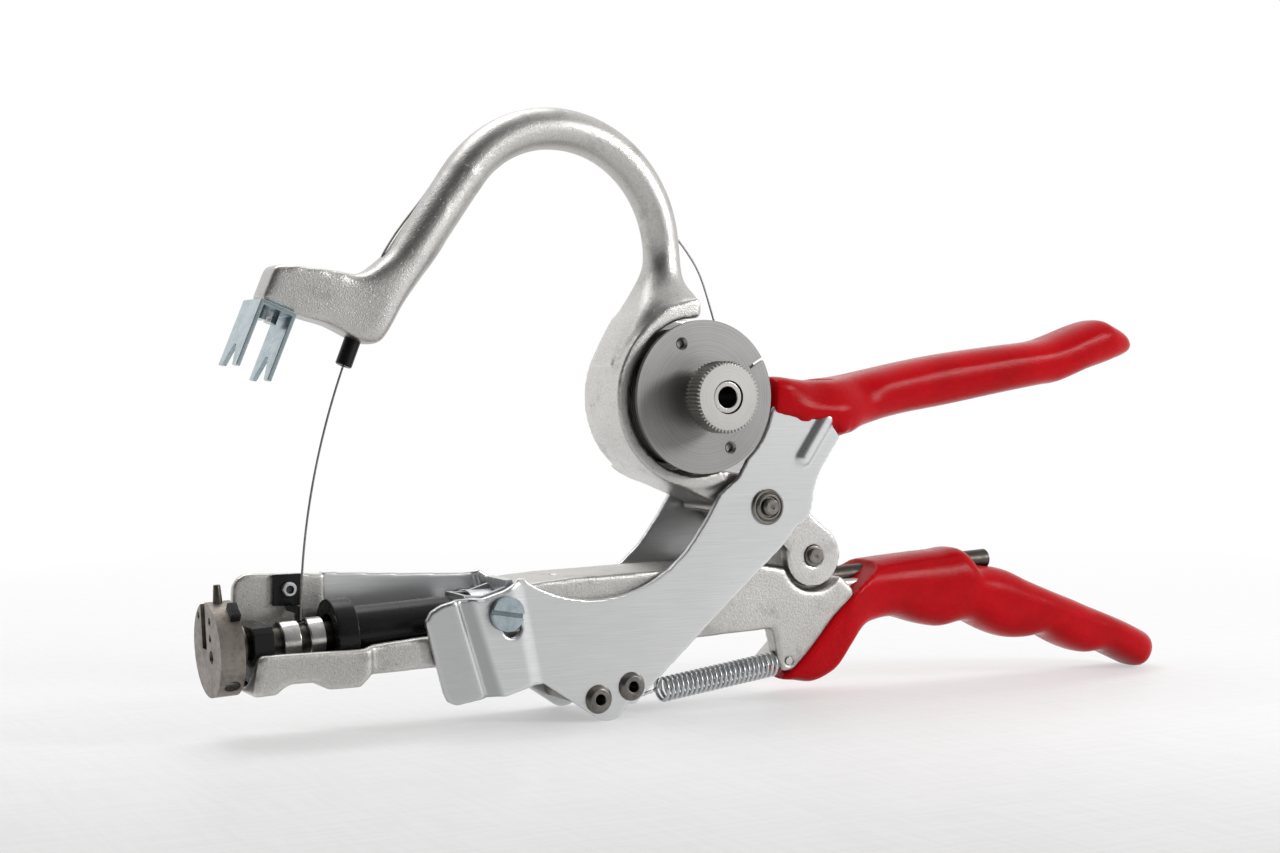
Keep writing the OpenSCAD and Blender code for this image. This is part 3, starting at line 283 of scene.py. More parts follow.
spoolMid = at(spoolAt[0], 0, spoolAt[1])
finishLook = {
    "armCast": (castMetal, (0.69, 0.68, 0.66), 0.28, 1.0),
    "leverCast": (castMetal, (0.57, 0.56, 0.535), 0.36, 1.1),
    "plateSheet": (brushedMetal, (0.67, 0.675, 0.68), 0.23, (0, 0.95, 0)),
    "redVinyl": (vinylSkin, (0.45, 0.0018, 0.005)),
    "zincBright": (platedSteel, (0.66, 0.67, 0.67), (0.46, 0.48, 0.5), 0.22),
    "zincBlue": (platedSteel, (0.46, 0.53, 0.56), (0.27, 0.36, 0.4), 0.18),
    "pinSteel": (platedSteel, (0.25, 0.235, 0.215), (0.11, 0.1, 0.09), 0.24),
    "headSteel": (platedSteel, (0.29, 0.26, 0.232), (0.13, 0.114, 0.1), 0.34, 0.6, 0.5),
    "blackOxide": (blackCoat, (0.005, 0.005, 0.0055), 0.2),
    "brightSteel": (platedSteel, (0.72, 0.71, 0.69), (0.5, 0.49, 0.47), 0.14),
    "bronze": (platedSteel, (0.5, 0.32, 0.14), (0.36, 0.22, 0.09), 0.3),
    "wireSteel": (platedSteel, (0.3, 0.29, 0.28), (0.17, 0.165, 0.16), 0.35),
    "flangeGrey": (turnedMetal, (0.285, 0.281, 0.275), 0.34, spoolMid),
    "knobSteel": (turnedMetal, (0.49, 0.478, 0.455), 0.24, spoolMid, 3400),
    "darkSteel": (platedSteel, (0.1, 0.088, 0.076), (0.045, 0.04, 0.035), 0.3),
}
finish = {name: make(name, *look) for name, (make, *look) in finishLook.items()}
print("finishes made", len(finish))


def newPiece(name, mesh):
    made = bpy.data.objects.new(name, mesh)
    scene.collection.objects.link(made)
    return made


def meshOf(vertices, faces):
    mesh = bpy.data.meshes.new("made")
    mesh.from_pydata([tuple(v) for v in vertices], [], faces)
    mesh.update()
    return mesh


def outward(mesh, weld=None):
    bm = bmesh.new()
    bm.from_mesh(mesh)
    if weld:
        bmesh.ops.remove_doubles(bm, verts=bm.verts, dist=weld)
    bmesh.ops.recalc_face_normals(bm, faces=bm.faces)
    bm.to_mesh(mesh)
    bm.free()
    return mesh


def cadCopy(node, flatten=True):
    bm = bmesh.new()
    bm.from_mesh(frame["nodes"][node].data)
    bmesh.ops.remove_doubles(bm, verts=bm.verts, dist=2e-6)
    if flatten:
        bmesh.ops.dissolve_limit(bm, angle_limit=math.radians(0.6), verts=bm.verts, edges=bm.edges)
    mesh = bpy.data.meshes.new(node)
    bm.to_mesh(mesh)
    bm.free()
    mesh.materials.clear()
    return mesh


def joinMeshes(name, meshes):
    bm = bmesh.new()
    for mesh in meshes:
        bm.from_mesh(mesh)
    out = bpy.data.meshes.new(name)
    bm.to_mesh(out)
    bm.free()
    return newPiece(name, out)


def prism(outline, low, high):
    n = len(outline)
    vertices = [at(x, y, z) for y in (low, high) for x, z in outline]
    faces = [list(range(n)), list(range(2 * n - 1, n - 1, -1))]
    faces += [[i, n + i, n + (i + 1) % n, (i + 1) % n] for i in range(n)]
    return outward(meshOf(vertices, faces))


def ringWalls(count, n, rows):
    return [[i * n + k, i * n + (k + 1) % n, (i + 1) % count * n + (k + 1) % n, (i + 1) % count * n + k]
            for i in range(rows) for k in range(n)]


def ringStack(rings):  # closed at both ends
    n, last = len(rings[0]), len(rings) - 1
    faces = ringWalls(len(rings), n, last)
    faces += [list(range(n - 1, -1, -1)), [last * n + k for k in range(n)]]
    return outward(meshOf([p for ring in rings for p in ring], faces))


def ringLoop(rings):  # the last ring meets the first one
    faces = ringWalls(len(rings), len(rings[0]), len(rings))
    return outward(meshOf([p for ring in rings for p in ring], faces))


def turnsOf(count, shift=0):
    return [2 * math.pi * (k + shift) / count for k in range(count)]


def roundAbout(place, radius, a, y):
    return at(place[0] + radius * math.cos(a), y, place[1] + radius * math.sin(a))


def roundSection(mid, first, second, radius, sides=40):
    return [at(*(mid + radius * (math.cos(a) * first + math.sin(a) * second))) for a in turnsOf(sides)]


def lathed(place, profile, bored=False, sides=64):
    rings = [[roundAbout(place, r, a, y) for a in turnsOf(sides)] for y, r in profile]
    return ringLoop(rings) if bored else ringStack(rings)


def spoolArc(radius, degrees):
    turns = [math.radians(d) for d in degrees]
    return [(spoolAt[0] + radius * math.cos(a), spoolAt[1] + radius * math.sin(a)) for a in turns]


def squareRound(x, y, power, angle):
    c, s = math.cos(angle), math.sin(angle)
    return math.copysign(abs(c) ** (2 / power), c) * x, math.copysign(abs(s) ** (2 / power), s) * y


def stationsThrough(stations, steps):  # smooth through rows of sizes or places
    fine = []
    for i in range(len(stations) - 1):
        near = (stations[max(i - 1, 0)], stations[i], stations[i + 1], stations[min(i + 2, len(stations) - 1)])
        for t in (k / steps for k in range(steps)):
            fine.append([0.5 * (2 * b + (c - a) * t + (2 * a - 5 * b + 4 * c - d) * t * t
                                + (3 * b - a - 3 * c + d) * t ** 3) for a, b, c, d in zip(*near)])
    return fine + [list(stations[-1])]


def curveThrough(points, steps):
    return [Vector(row) for row in stationsThrough(points, steps)]


def eased(value):
    value = np.clip(value, 0, 1)
    return value * value * (3 - 2 * value)


def baked(piece):
    bpy.context.view_layer.update()
    deps = bpy.context.evaluated_depsgraph_get()
    mesh = bpy.data.meshes.new_from_object(piece.evaluated_get(deps))
    piece.modifiers.clear()
    piece.data = mesh
    return piece


def smoothShade(piece, angle=None):
    mesh = piece.data
    mesh.polygons.foreach_set("use_smooth", [True] * len(mesh.polygons))
    if angle:
        bm = bmesh.new()
        bm.from_mesh(mesh)
        limit = math.radians(angle)
        for edge in bm.edges:
            edge.smooth = len(edge.link_faces) == 2 and edge.calc_face_angle() < limit
        bm.to_mesh(mesh)
        bm.free()


def bevelled(piece, width, steps=2, sharp=30, smooth=48):
    mod = piece.modifiers.new("edge", "BEVEL")
    mod.width = mm(width)
    mod.segments = steps
    mod.limit_method = "ANGLE"
    mod.angle_limit = math.radians(sharp)
    mod.use_clamp_overlap = True
    baked(piece)
    smoothShade(piece, smooth)
    even = piece.modifiers.new("even", "WEIGHTED_NORMAL")
    even.keep_sharp = True
    return baked(piece)


def softened(piece, voxel, rounds):
    mod = piece.modifiers.new("skin", "REMESH")
    mod.mode = "VOXEL"
    mod.voxel_size = mm(voxel)
    smooth = piece.modifiers.new("soft", "SMOOTH")
    smooth.iterations = rounds
    smooth.factor = 0.5
    return baked(piece)


def carved(piece, toolMesh):
    tool = newPiece("cutter", toolMesh)
    mod = piece.modifiers.new("carve", "BOOLEAN")
    mod.operation = "DIFFERENCE"
    mod.solver = "EXACT"
    mod.object = tool
    baked(piece)
    bpy.data.objects.remove(tool)
    return piece


def placesOf(piece):
    co = np.empty(len(piece.data.vertices) * 3)
    piece.data.vertices.foreach_get("co", co)
    return co.reshape(-1, 3) * 1000 + np.array(toolCentre)


def replaced(piece, places):
    piece.data.vertices.foreach_set("co", ((places - np.array(toolCentre)) / 1000).ravel())
    piece.data.update()


def edgePairs(piece):
    pairs = np.empty(len(piece.data.edges) * 2, int)
    piece.data.edges.foreach_get("vertices", pairs)
    return pairs.reshape(-1, 2).T


def relaxed(piece, rounds, share):
    places = placesOf(piece)
    count = len(places)
    a, b = edgePairs(piece)
    seen = np.bincount(a, minlength=count) + np.bincount(b, minlength=count)
    pull = 0.5 * share(places)[:, None]
    for turn in range(rounds):
        near = [np.bincount(a, places[b, k], count) + np.bincount(b, places[a, k], count) for k in range(3)]
        places += pull * (np.stack(near, 1) / seen[:, None] - places)
    replaced(piece, places)
    return piece


def marked(piece, name, values):
    data = piece.data.attributes.new(name, "FLOAT", "POINT").data
    data.foreach_set("value", np.asarray(values, np.float32))


def markEdges(piece, gain, strength=3.2):
    places = placesOf(piece)
    normals = np.empty(places.size)
    piece.data.vertex_normals.foreach_get("vector", normals)
    normals = normals.reshape(-1, 3)
    a, b = edgePairs(piece)
    step = places[b] - places[a]
    size = np.linalg.norm(step, axis=1) + 1e-6
    bend = np.zeros(len(places))
    seen = np.zeros(len(places))
    for one, way in ((a, 1), (b, -1)):
        np.add.at(bend, one, -way * np.einsum("ij,ij->i", normals[one], step) / size)
        np.add.at(seen, one, 1)
    marked(piece, "edge", np.clip(bend / np.maximum(seen, 1) * strength * gain, 0, 1))


def coated(piece, material, hasEdges=False):
    piece.data.materials.clear()
    piece.data.materials.append(finish[material])
    if not hasEdges:
        smoothShade(piece)


def settle(piece, material, node, hasEdges=False):
    coated(piece, material, hasEdges)
    markEdges(piece, 0.3 if hasEdges else 1.0)  # broken edges reach over whole faces, so they count for less
    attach(piece, bodyOf(node))
    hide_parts(node)
    return piece


# a polyline swept by a round section
def sweepTree():
    tree = bpy.data.node_groups.new("roundSweep", "GeometryNodeTree")
    face = tree.interface
    face.new_socket("Tube", in_out="OUTPUT", socket_type="NodeSocketGeometry")
    kinds = {"Path": "Geometry", "Radius": "Float", "Sides": "Int", "Skin": "Material"}
    keys = {name: face.new_socket(name, in_out="INPUT", socket_type="NodeSocket" + kind).identifier
            for name, kind in kinds.items()}
    group, curve, circle, sweep, real, paint, end = [tree.nodes.new(kind) for kind in (
        "NodeGroupInput", "GeometryNodeMeshToCurve", "GeometryNodeCurvePrimitiveCircle", "GeometryNodeCurveToMesh",
        "GeometryNodeRealizeInstances", "GeometryNodeSetMaterial", "NodeGroupOutput")]
    link = tree.links.new
    link(group.outputs["Path"], curve.inputs["Mesh"])
    link(group.outputs["Radius"], circle.inputs["Radius"])
    link(group.outputs["Sides"], circle.inputs["Resolution"])
    link(curve.outputs["Curve"], sweep.inputs["Curve"])
    link(circle.outputs["Curve"], sweep.inputs["Profile Curve"])
    sweep.inputs["Fill Caps"].default_value = True
    link(sweep.outputs["Mesh"], real.inputs["Geometry"])
    link(real.outputs["Geometry"], paint.inputs["Geometry"])
    link(group.outputs["Skin"], paint.inputs["Material"])
    link(paint.outputs["Geometry"], end.inputs["Tube"])
    return tree, keys


roundSweep, sweepKeys = sweepTree()


def swept(name, points, diameter, sides, material):
    mesh = bpy.data.meshes.new(name)
    mesh.from_pydata([tuple(p) for p in points], [(i, i + 1) for i in range(len(points) - 1)], [])
    piece = newPiece(name, mesh)
    mod = piece.modifiers.new("sweep", "NODES")
    mod.node_group = roundSweep
    for name, value in (("Radius", mm(diameter / 2)), ("Sides", sides), ("Skin", finish[material])):
        mod[sweepKeys[name]] = value
    baked(piece)
    outward(piece.data, 1e-7)
    return piece


# wire from the spool along the far side of the arm and down to the gripper
nozzleSize = {"tip": (-90.3, 99.2), "way": (0.35898, 0.93335), "radius": 2.3, "bore": 0.75, "length": 10.4}
archSize = {"mid": (-28, 133.4), "radius": 33, "thick": 12.2, "thin": 10.7, "drift": 1.8}
wireSize = {"diameter": 0.6, "sides": 12, "full": 1.03,  # a tube with few sides is drawn a little full
            "leave": 18.5, "coil": 19.45, "clear": 0.75, "startSide": 3.1, "ahead": 0.8, "straight": 8, "inwards": 0.5,
            "free": ((26, 2.6, 113.6), (21.6, 3, 126.4), (16.4, 3.7, 134.6)),
            "overArch": (13, 144, 8), "side": 44, "lift": 0.5,
            "legSlope": 55.3, "legTop": (-55.13, 152.19), "legLift": 6.6,
            "downLeg": ((1, 1), (10, 1), (20, 0.66), (26, 0.33), (32, 0)),  # way down and share of the side angle
            "inNose": (30.8, 28.4, 18, 8, -0.4), "spanTop": 0.5, "gripped": (-102.4, 31.4), "spanSteps": 11,
            "closed": 0.1455}  # share of the open length that is left between nozzle and gripper


def archAt(deg):
    part = max(0.0, min(1.0, deg / 90))
    reach = archSize["radius"] + archSize["drift"] * (1 - part) ** 1.5
    thick = archSize["thin"] + (archSize["thick"] - archSize["thin"]) * part ** 0.6
    out = Vector((math.cos(math.radians(deg)), 0, math.sin(math.radians(deg))))
    return flat(archSize["mid"]) + reach * out, out, thick / 2


def wireRoute():
    w = wireSize
    a, reach = math.radians(w["leave"]), w["coil"] + w["clear"]
    way = Vector((-math.sin(a), 0, math.cos(a)))
    leave = Vector((spoolAt[0] + reach * math.cos(a), w["startSide"], spoolAt[1] + reach * math.sin(a)))
    start = leave + w["ahead"] * way
    run = [start, start + w["straight"] * way - w["inwards"] * across] + [Vector(p) for p in w["free"]]
    side = math.radians(w["side"])
    for deg in range(*w["overArch"]):
        mid, out, thick = archAt(deg)
        run.append(mid + (thick + w["lift"]) * (math.cos(side) * out + math.sin(side) * across))
    slope = math.radians(w["legSlope"])
    down = Vector((-math.cos(slope), 0, -math.sin(slope)))
    out = Vector((-math.sin(slope), 0, math.cos(slope)))
    for s, share in w["downLeg"]:
        lean = side * share
        lifted = w["legLift"] * (math.cos(lean) * out + math.sin(lean) * across)
        run.append(flat(w["legTop"]) + s * down + lifted)
    tip, bore = flat(nozzleSize["tip"]), flat(nozzleSize["way"])
    run += [tip + s * bore for s in w["inNose"]]
    top, low = tip - w["spanTop"] * bore, flat(w["gripped"])
    span = [Vector((low.x + (top.x - low.x) * (1 - f) ** 2, 0, top.z + (low.z - top.z) * f))
            for f in (i / w["spanSteps"] for i in range(w["spanSteps"] + 1))]
    return [[at(*p) for p in part] for part in (run, span)]


def pathLength(points):
    return sum((b - a).length for a, b in zip(points, points[1:]))


runPoints, spanPoints = (curveThrough(p, 4) for p in wireRoute())
wireRun, wireSpan = [swept(name, path, wireSize["diameter"] * wireSize["full"], wireSize["sides"], "wireSteel")
                     for name, path in (("wireRun", runPoints), ("wireSpan", spanPoints))]
settle(wireRun, "wireSteel", "wire_run")
coated(wireSpan, "wireSteel")
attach(wireSpan, "lower_lever")
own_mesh(wireSpan)
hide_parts("wire_span")
for cordPiece, cordPath in ((wireRun, runPoints), (wireSpan, spanPoints)):
    pathLength(cordPath)
print("wire run", round(pathLength(runPoints), 4), "span", round(pathLength(spanPoints), 4))

# winding on the spool
windingSize = {"turns": 15, "from": -14.1, "to": 3.2, "wire": 0.6, "sides": 8, "perTurn": 48}
windingSteps = windingSize["turns"] * windingSize["perTurn"]
wound = []
for i in range(windingSteps + 1):
    done = i / windingSteps
    a = math.radians(wireSize["leave"]) - 2 * math.pi * windingSize["turns"] * (1 - done)
    wound.append(roundAbout(spoolAt, wireSize["coil"], a,
                            windingSize["from"] + (windingSize["to"] - windingSize["from"]) * done))
wireWinding = swept("wireWinding", wound, windingSize["wire"], windingSize["sides"], "wireSteel")
settle(wireWinding, "wireSteel", "wire_winding")

# return spring with an eye on its pin, and the hook on the rivet
springSize = {"curls": 24, "outer": 7.3, "wire": 1.0, "sides": 12, "perCurl": 32, "shift": 1.0, "y": -9,
              "front": (0.6, 6.4), "back": (38.6, 11.4), "pin": (43.4, 12.4), "eye": 1.95, "eyeTurn": (100, -141, -20),
              "rivet": (-10.9, 9.3), "hook": 4.25, "hookTurn": (-60, -271, -15),
              "held": (42, -9, 12.2), "pulled": (-1.5, -9, 6.2)}
springFront, springBack = Vector(springSize["front"]), Vector(springSize["back"])
coilLength = (springBack - springFront).length
coilRadius = (springSize["outer"] - springSize["wire"]) / 2
coilSteps = springSize["curls"] * springSize["perCurl"]


def springAt(s, r, a):
    u = (springBack - springFront).normalized()
    p = springFront + s * u + r * math.cos(a) * Vector((-u[1], u[0]))
    return at(p[0], springSize["y"] + r * math.sin(a), p[1])


def springTurn(place, radius, degrees):
    return [roundAbout(place, radius, math.radians(d), springSize["y"]) for d in range(*degrees)]


coil = [springAt(coilLength * i / coilSteps, coilRadius, 2 * math.pi * i / springSize["perCurl"])
        + Vector((mm(springSize["shift"]), 0, 0)) for i in range(coilSteps + 1)]
lead = curveThrough([springAt(-1, 0, 0), springAt(0.2, 0.8, 0), springAt(0.5, 2, -0.14), coil[0]], 5)
eye = springTurn(springSize["pin"], springSize["eye"], springSize["eyeTurn"])
tail = curveThrough([coil[-1], springAt(coilLength + 2.6, 2.2, 0.28), eye[0]], 6)
returnSpring = swept("returnSpring", lead[:-1] + coil + tail[1:-1] + eye, springSize["wire"], springSize["sides"],
                     "zincBright")
coated(returnSpring, "zincBright")
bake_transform(returnSpring)
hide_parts("return_spring")
hookTurn = springTurn(springSize["rivet"], springSize["hook"], springSize["hookTurn"])
hookLead = curveThrough([springAt(-1.6, 0, 0), springAt(-3.2, 0, 0), springAt(-4.8, -0.3, 0), hookTurn[0]], 4)
springHook = swept("springHook", hookLead[:-1] + hookTurn, springSize["wire"], springSize["sides"], "zincBright")
settle(springHook, "zincBright", "spring_hook")
print("spring and winding swept")

# dipped grips: x, lowest z, highest z, half width and squareness of each station
lowerGripSize = {
    "stations": [
        (38.5, 6.8, 20, 13.9, 7), (46, 6.2, 26, 14, 7), (52.5, 5.3, 34, 14.1, 7), (58.5, 7.4, 37, 14.1, 7),
        (61.5, 9.8, 38, 14.1, 7), (65.3, 14.5, 39, 14, 6), (70.5, 19.2, 39.5, 12.9, 4), (76, 21.4, 40, 12, 3.2),
        (86, 22.3, 41, 11.2, 2.8), (97, 19.4, 41.8, 11, 2.8), (104, 18.2, 42.2, 11, 2.8), (110.5, 19.2, 42.8, 11, 2.8),
        (114, 19.4, 41, 11, 2.7), (117, 18.8, 37.7, 11, 2.6), (124, 15.4, 36.5, 11, 2.6), (131, 13.1, 34.7, 10.9, 2.6),
        (138, 12.7, 31.6, 10.8, 2.6), (145, 13.2, 28.8, 10.7, 2.6), (152, 9.9, 26.2, 10.6, 2.6),
        (157.5, 7.6, 24.2, 10.5, 2.6), (163, 6.2, 22, 10.3, 2.6), (170, 6.3, 19.4, 10.1, 2.6), (179, 2.6, 16, 9.8, 2.5),
        (185.5, 0.1, 13.2, 9, 2.4), (189, 2.2, 11.5, 7, 2.3), (191, 4.2, 8.8, 4, 2.2), (191.8, 5.4, 7, 1.5, 2)],
    "front": [(31, -2), (37.2, 3), (51, 16), (59, 25), (68.3, 33), (77.2, 38.5), (81, 52), (31, 52)],
    "farFront": [(30, -2), (46, 2), (58, 15.5), (61, 26), (30, 26)], "farFrom": -5.6, "past": 22,
    "rodRadius": 3.4, "rodStart": (-127.7, 25), "rodSlope": 3.07, "rodRoom": (105, 140), "rodSides": 32}
upperGripSize = {
    "stations": [
        (36.3, 84.8, 96.6, 16.8, 5), (40, 84, 96.6, 17.1, 5), (44, 83.2, 96.1, 17.2, 5), (51, 82, 95.5, 17.2, 5),
        (57, 80.4, 95.5, 17.2, 5), (60, 79.2, 95.6, 17.1, 4.6), (63, 78.6, 95.9, 16.6, 4.2),
        (66.5, 79.3, 96.3, 15.5, 3.7), (69, 80.3, 96.7, 14.6, 3.4), (72.5, 81.3, 97.3, 13.5, 3.1),
        (77, 82.4, 98.2, 12.5, 2.9), (82, 83.6, 99.2, 11.8, 2.8), (91, 85.3, 101, 11.2, 2.7),
        (107, 87.7, 103.7, 10.8, 2.7), (128, 91.3, 106.3, 10.6, 2.7), (143, 93.7, 108, 10.5, 2.7),
        (150.5, 94.8, 110, 10.5, 2.7), (161.5, 98.6, 113.7, 10.4, 2.7), (168, 100.4, 115.2, 10, 2.6),
        (172, 101.6, 113.9, 9.4, 2.5), (177.5, 103.3, 111.6, 7.5, 2.3), (180.5, 104.6, 109, 5, 2.2),
        (182, 105.6, 107.4, 2, 2)],
    "mouth": [(30, 70), (62, 70), (62, 110), (30, 110)], "mouthHalf": 9,
    "hemEnd": 66, "hemTop": 86.5, "hemWaves": ((0.5, 0.47, 2), (0.28, 0.91, 0), (0.1, 2.3, 1)), "shoulder": 0.2}
dipSize = {"sides": 56, "steps": 4, "voxel": 0.8, "rounds": 5, "least": 0.3}


def gripMesh(stations):
    rings = []
    for x, low, high, half, power in stationsThrough(stations, dipSize["steps"]):
        ring = []
        for a in turnsOf(dipSize["sides"], 0.5):
            y, z = squareRound(max(half, dipSize["least"]), max((high - low) / 2, dipSize["least"]), max(power, 2), a)
            ring.append(at(x, y, (low + high) / 2 + z))
        rings.append(ring)
    return ringStack(rings)


def rodRoom():
    g = lowerGripSize
    rings = []
    for x in g["rodRoom"]:
        z = g["rodStart"][1] + (x - g["rodStart"][0]) * math.tan(math.radians(g["rodSlope"]))
        rings.append([at(x, g["rodRadius"] * math.cos(a), z + g["rodRadius"] * math.sin(a))
                      for a in turnsOf(g["rodSides"])])
    return ringStack(rings)


lowerGrip = newPiece("lowerGrip", gripMesh(lowerGripSize["stations"]))
for outline, low in (("front", -lowerGripSize["past"]), ("farFront", lowerGripSize["farFrom"])):
    carved(lowerGrip, prism(lowerGripSize[outline], low, lowerGripSize["past"]))
carved(lowerGrip, rodRoom())
softened(lowerGrip, dipSize["voxel"], dipSize["rounds"])
settle(lowerGrip, "redVinyl", "lower_grip")

upperGrip = newPiece("upperGrip", gripMesh(upperGripSize["stations"]))
carved(upperGrip, prism(upperGripSize["mouth"], -upperGripSize["mouthHalf"], upperGripSize["mouthHalf"]))
softened(upperGrip, dipSize["voxel"], dipSize["rounds"])
gripPlaces = placesOf(upperGrip)
gripX, gripZ = gripPlaces[:, 0], gripPlaces[:, 2]
hem = eased((upperGripSize["hemEnd"] - gripX) / 6) * eased((upperGripSize["hemTop"] - gripZ) / 3)
gripPlaces[:, 2] += hem * sum(size * np.sin(gripX * rate + start) for size, rate, start in upperGripSize["hemWaves"])
fall = eased((gripZ - 86) / 9) * eased((gripX - 40) / 14) * eased((80 - gripX) / 12)  # shoulders narrow to the top
gripPlaces[:, 1] *= 1 - upperGripSize["shoulder"] * fall
replaced(upperGrip, gripPlaces)
settle(upperGrip, "redVinyl", "upper_grip")
print("grips made")

# cast arm: nose, leg, ring and strap carried over, arch, neck and heel drawn again as soft forms
armSize = {
    "neck": [  # z, two x, two y and squareness
        (138.5, 1.04, 11.86, -5.3, 5.3, 2.0), (134, 1.5, 12.35, -5.35, 5.35, 2.0), (130.5, 1.76, 12.43, -5.6, 5.5, 2.1),
        (127, 0.97, 12.57, -6.3, 5.8, 2.2), (123.5, -0.74, 13.09, -7.8, 6.4, 2.4), (120.5, -2.56, 15.08, -9.8, 7.0, 2.7),
        (118, -4.06, 16.34, -11.4, 7.6, 3.0), (115, -5.75, 16.17, -12.3, 8.1, 3.4), (111, -7.85, 13.73, -12.5, 8.5, 4.0),
        (107, -9.98, 11.46, -12.5, 8.8, 4.6), (102, -11.77, 7.06, -12.5, 8.9, 5.5)],
    "heel": [  # upper x and z, lower x and z, half width and squareness
        (-93.4, 124.7, -88.6, 106.6, 5.45, 9), (-91, 124.1, -85.5, 105.1, 5.5, 8), (-87.3, 123.8, -81, 105.4, 5.6, 6.5),
        (-84.2, 124.8, -77.6, 109.8, 5.8, 4.8), (-81.2, 127.2, -74.0, 115.8, 6, 3.4),
        (-77.8, 130.4, -68.6, 122.8, 6.1, 2.5), (-73.8, 135.9, -63.8, 128.9, 6.1, 2),
        (-71.5, 139.2, -61.5, 132.2, 6.1, 2)],
    "lip": [(-12.9, 94), (-11, 101.5), (-4.8, 110), (2.3, 116), (9, 118.4), (12.4, 119.1), (13.6, 117.4), (12.6, 113.3),
            (5.3, 112.7), (-2.9, 107.4), (-8.1, 99), (-9.6, 94)], "lipSides": (-12.6, -9),
    "archCut": [(-28, 114), (60, 114), (60, 190), (-28, 190)], "archTurn": (97, -8, -3),
    "strapRadius": 26.2, "strapTurn": (188, 257, 4), "strapPast": [(21, 58.9), (21, 40), (-40, 40), (-40, 86.9)],
    "heelCut": [(-91, 134), (-90.6, 123), (-85.6, 104), (-85, 98), (-60, 98), (-62, 127.6), (-75.4, 137)],
    "ringEnd": [(13.2, 98), (40, 98), (40, 130), (13.2, 130)], "ringEndTo": 6.4, "past": 20,
    "spoolRoom": 22.6, "spoolRoomTo": 6.5, "sides": 48, "steps": 5, "voxel": 0.65, "relax": 26}


def neckMesh():
    rings = []
    for z, x0, x1, y0, y1, power in stationsThrough(armSize["neck"], armSize["steps"]):
        ring = []
        for a in turnsOf(armSize["sides"], 0.5):
            x, y = squareRound((x1 - x0) / 2, (y1 - y0) / 2, power, a)
            ring.append(at((x0 + x1) / 2 + x, (y0 + y1) / 2 + y, z))
        rings.append(ring)
    return ringStack(rings)


def heelMesh():
    rings = []
    for x0, z0, x1, z1, half, power in stationsThrough(armSize["heel"], armSize["steps"]):
        mid, reach = flat(((x0 + x1) / 2, (z0 + z1) / 2)), flat(((x0 - x1) / 2, (z0 - z1) / 2))
        ring = []
        for a in turnsOf(armSize["sides"], 0.5):
            up, y = squareRound(1, half, power, a)
            ring.append(at(*(mid + up * reach + y * across)))
        rings.append(ring)
    return ringStack(rings)


def armShare(places):  # how much each place of the arm is smoothed
    x, y, z = places.T
    goose = eased((z - 105) / 4) * (1 - 0.85 * eased((-7.6 - y) / 1.5) * (z < 121))  # less on the ring's front
    heel = eased((19 - np.hypot(x + 82, z - 116)) / 5)
    end = eased((-105 - x) / 3)
    return np.clip(0.08 + goose * (x > -62) + (x <= -62) * 0.25 + heel + end * 0.6, 0, 1)


def armShadeAndDarkening(places):  # painted shade on the turned front of the ring and on the lip and chin, and a light darkening over the gooseneck
    x, y, z = places.T
    turn = np.degrees(np.arctan2(z - spoolAt[1], x - spoolAt[0])) % 360
    reach = np.hypot(x - spoolAt[0], z - spoolAt[1])
    front = eased((-11.7 - y) / 0.5)
    rim = eased((26.3 - reach) / 0.6) * eased((reach - 19.8) / 0.4) * eased((turn - 118) / 22) * eased((268 - turn) / 12)
    goose = np.maximum(eased((z - 112) / 14), x < -45)
    return np.maximum(front * np.maximum(0.4 * rim, 0.3 * (x > -30)), 0.26 * goose)


neck = newPiece("neck", neckMesh())
spoolCircle = spoolArc(armSize["spoolRoom"], (3.75 * k for k in range(96)))
carved(neck, prism(spoolCircle, -armSize["past"], armSize["spoolRoomTo"]))
arch = ringStack([roundSection(mid, out, across, thick)
                  for mid, out, thick in (archAt(d) for d in range(*armSize["archTurn"]))])
armCopy = newPiece("armCopy", cadCopy("arm_casting", False))
strapCut = spoolArc(armSize["strapRadius"], range(*armSize["strapTurn"])) + armSize["strapPast"]
past = armSize["past"]
for outline, high in ((armSize["archCut"], past), (strapCut, past), (armSize["heelCut"], past),
                      (armSize["ringEnd"], armSize["ringEndTo"])):
    carved(armCopy, prism(outline, -past, high))
lip = prism(armSize["lip"], *armSize["lipSides"])
armCasting = joinMeshes("armCasting", [armCopy.data, neck.data, arch, heelMesh(), lip])
for spare in (armCopy, neck):
    bpy.data.objects.remove(spare)
softened(armCasting, armSize["voxel"], 1)
relaxed(armCasting, armSize["relax"], armShare)
# painted shade on the ring's front and the lip, and a darker gooseneck
marked(armCasting, "shadeAndDarkening", armShadeAndDarkening(placesOf(armCasting)))
settle(armCasting, "armCast", "arm_casting")

# cast lever: its foot is a web on the near side
leverSize = {"footRoom": [(30, 4), (30, 21.3), (38, 22.2), (49, 23), (54.5, 20.5), (52, 16.6), (44.2, 9.2), (41, 4)],
             "footSides": (-6.6, 22), "voxel": 0.65, "rounds": 2, "relax": 3}
lowerCasting = newPiece("lowerCasting", cadCopy("lower_casting", False))
carved(lowerCasting, prism(leverSize["footRoom"], *leverSize["footSides"]))
softened(lowerCasting, leverSize["voxel"], leverSize["rounds"])
relaxed(lowerCasting, leverSize["relax"], lambda places: np.ones(len(places)))
settle(lowerCasting, "leverCast", "lower_casting")
print("castings made", len(armCasting.data.polygons), len(lowerCasting.data.polygons))

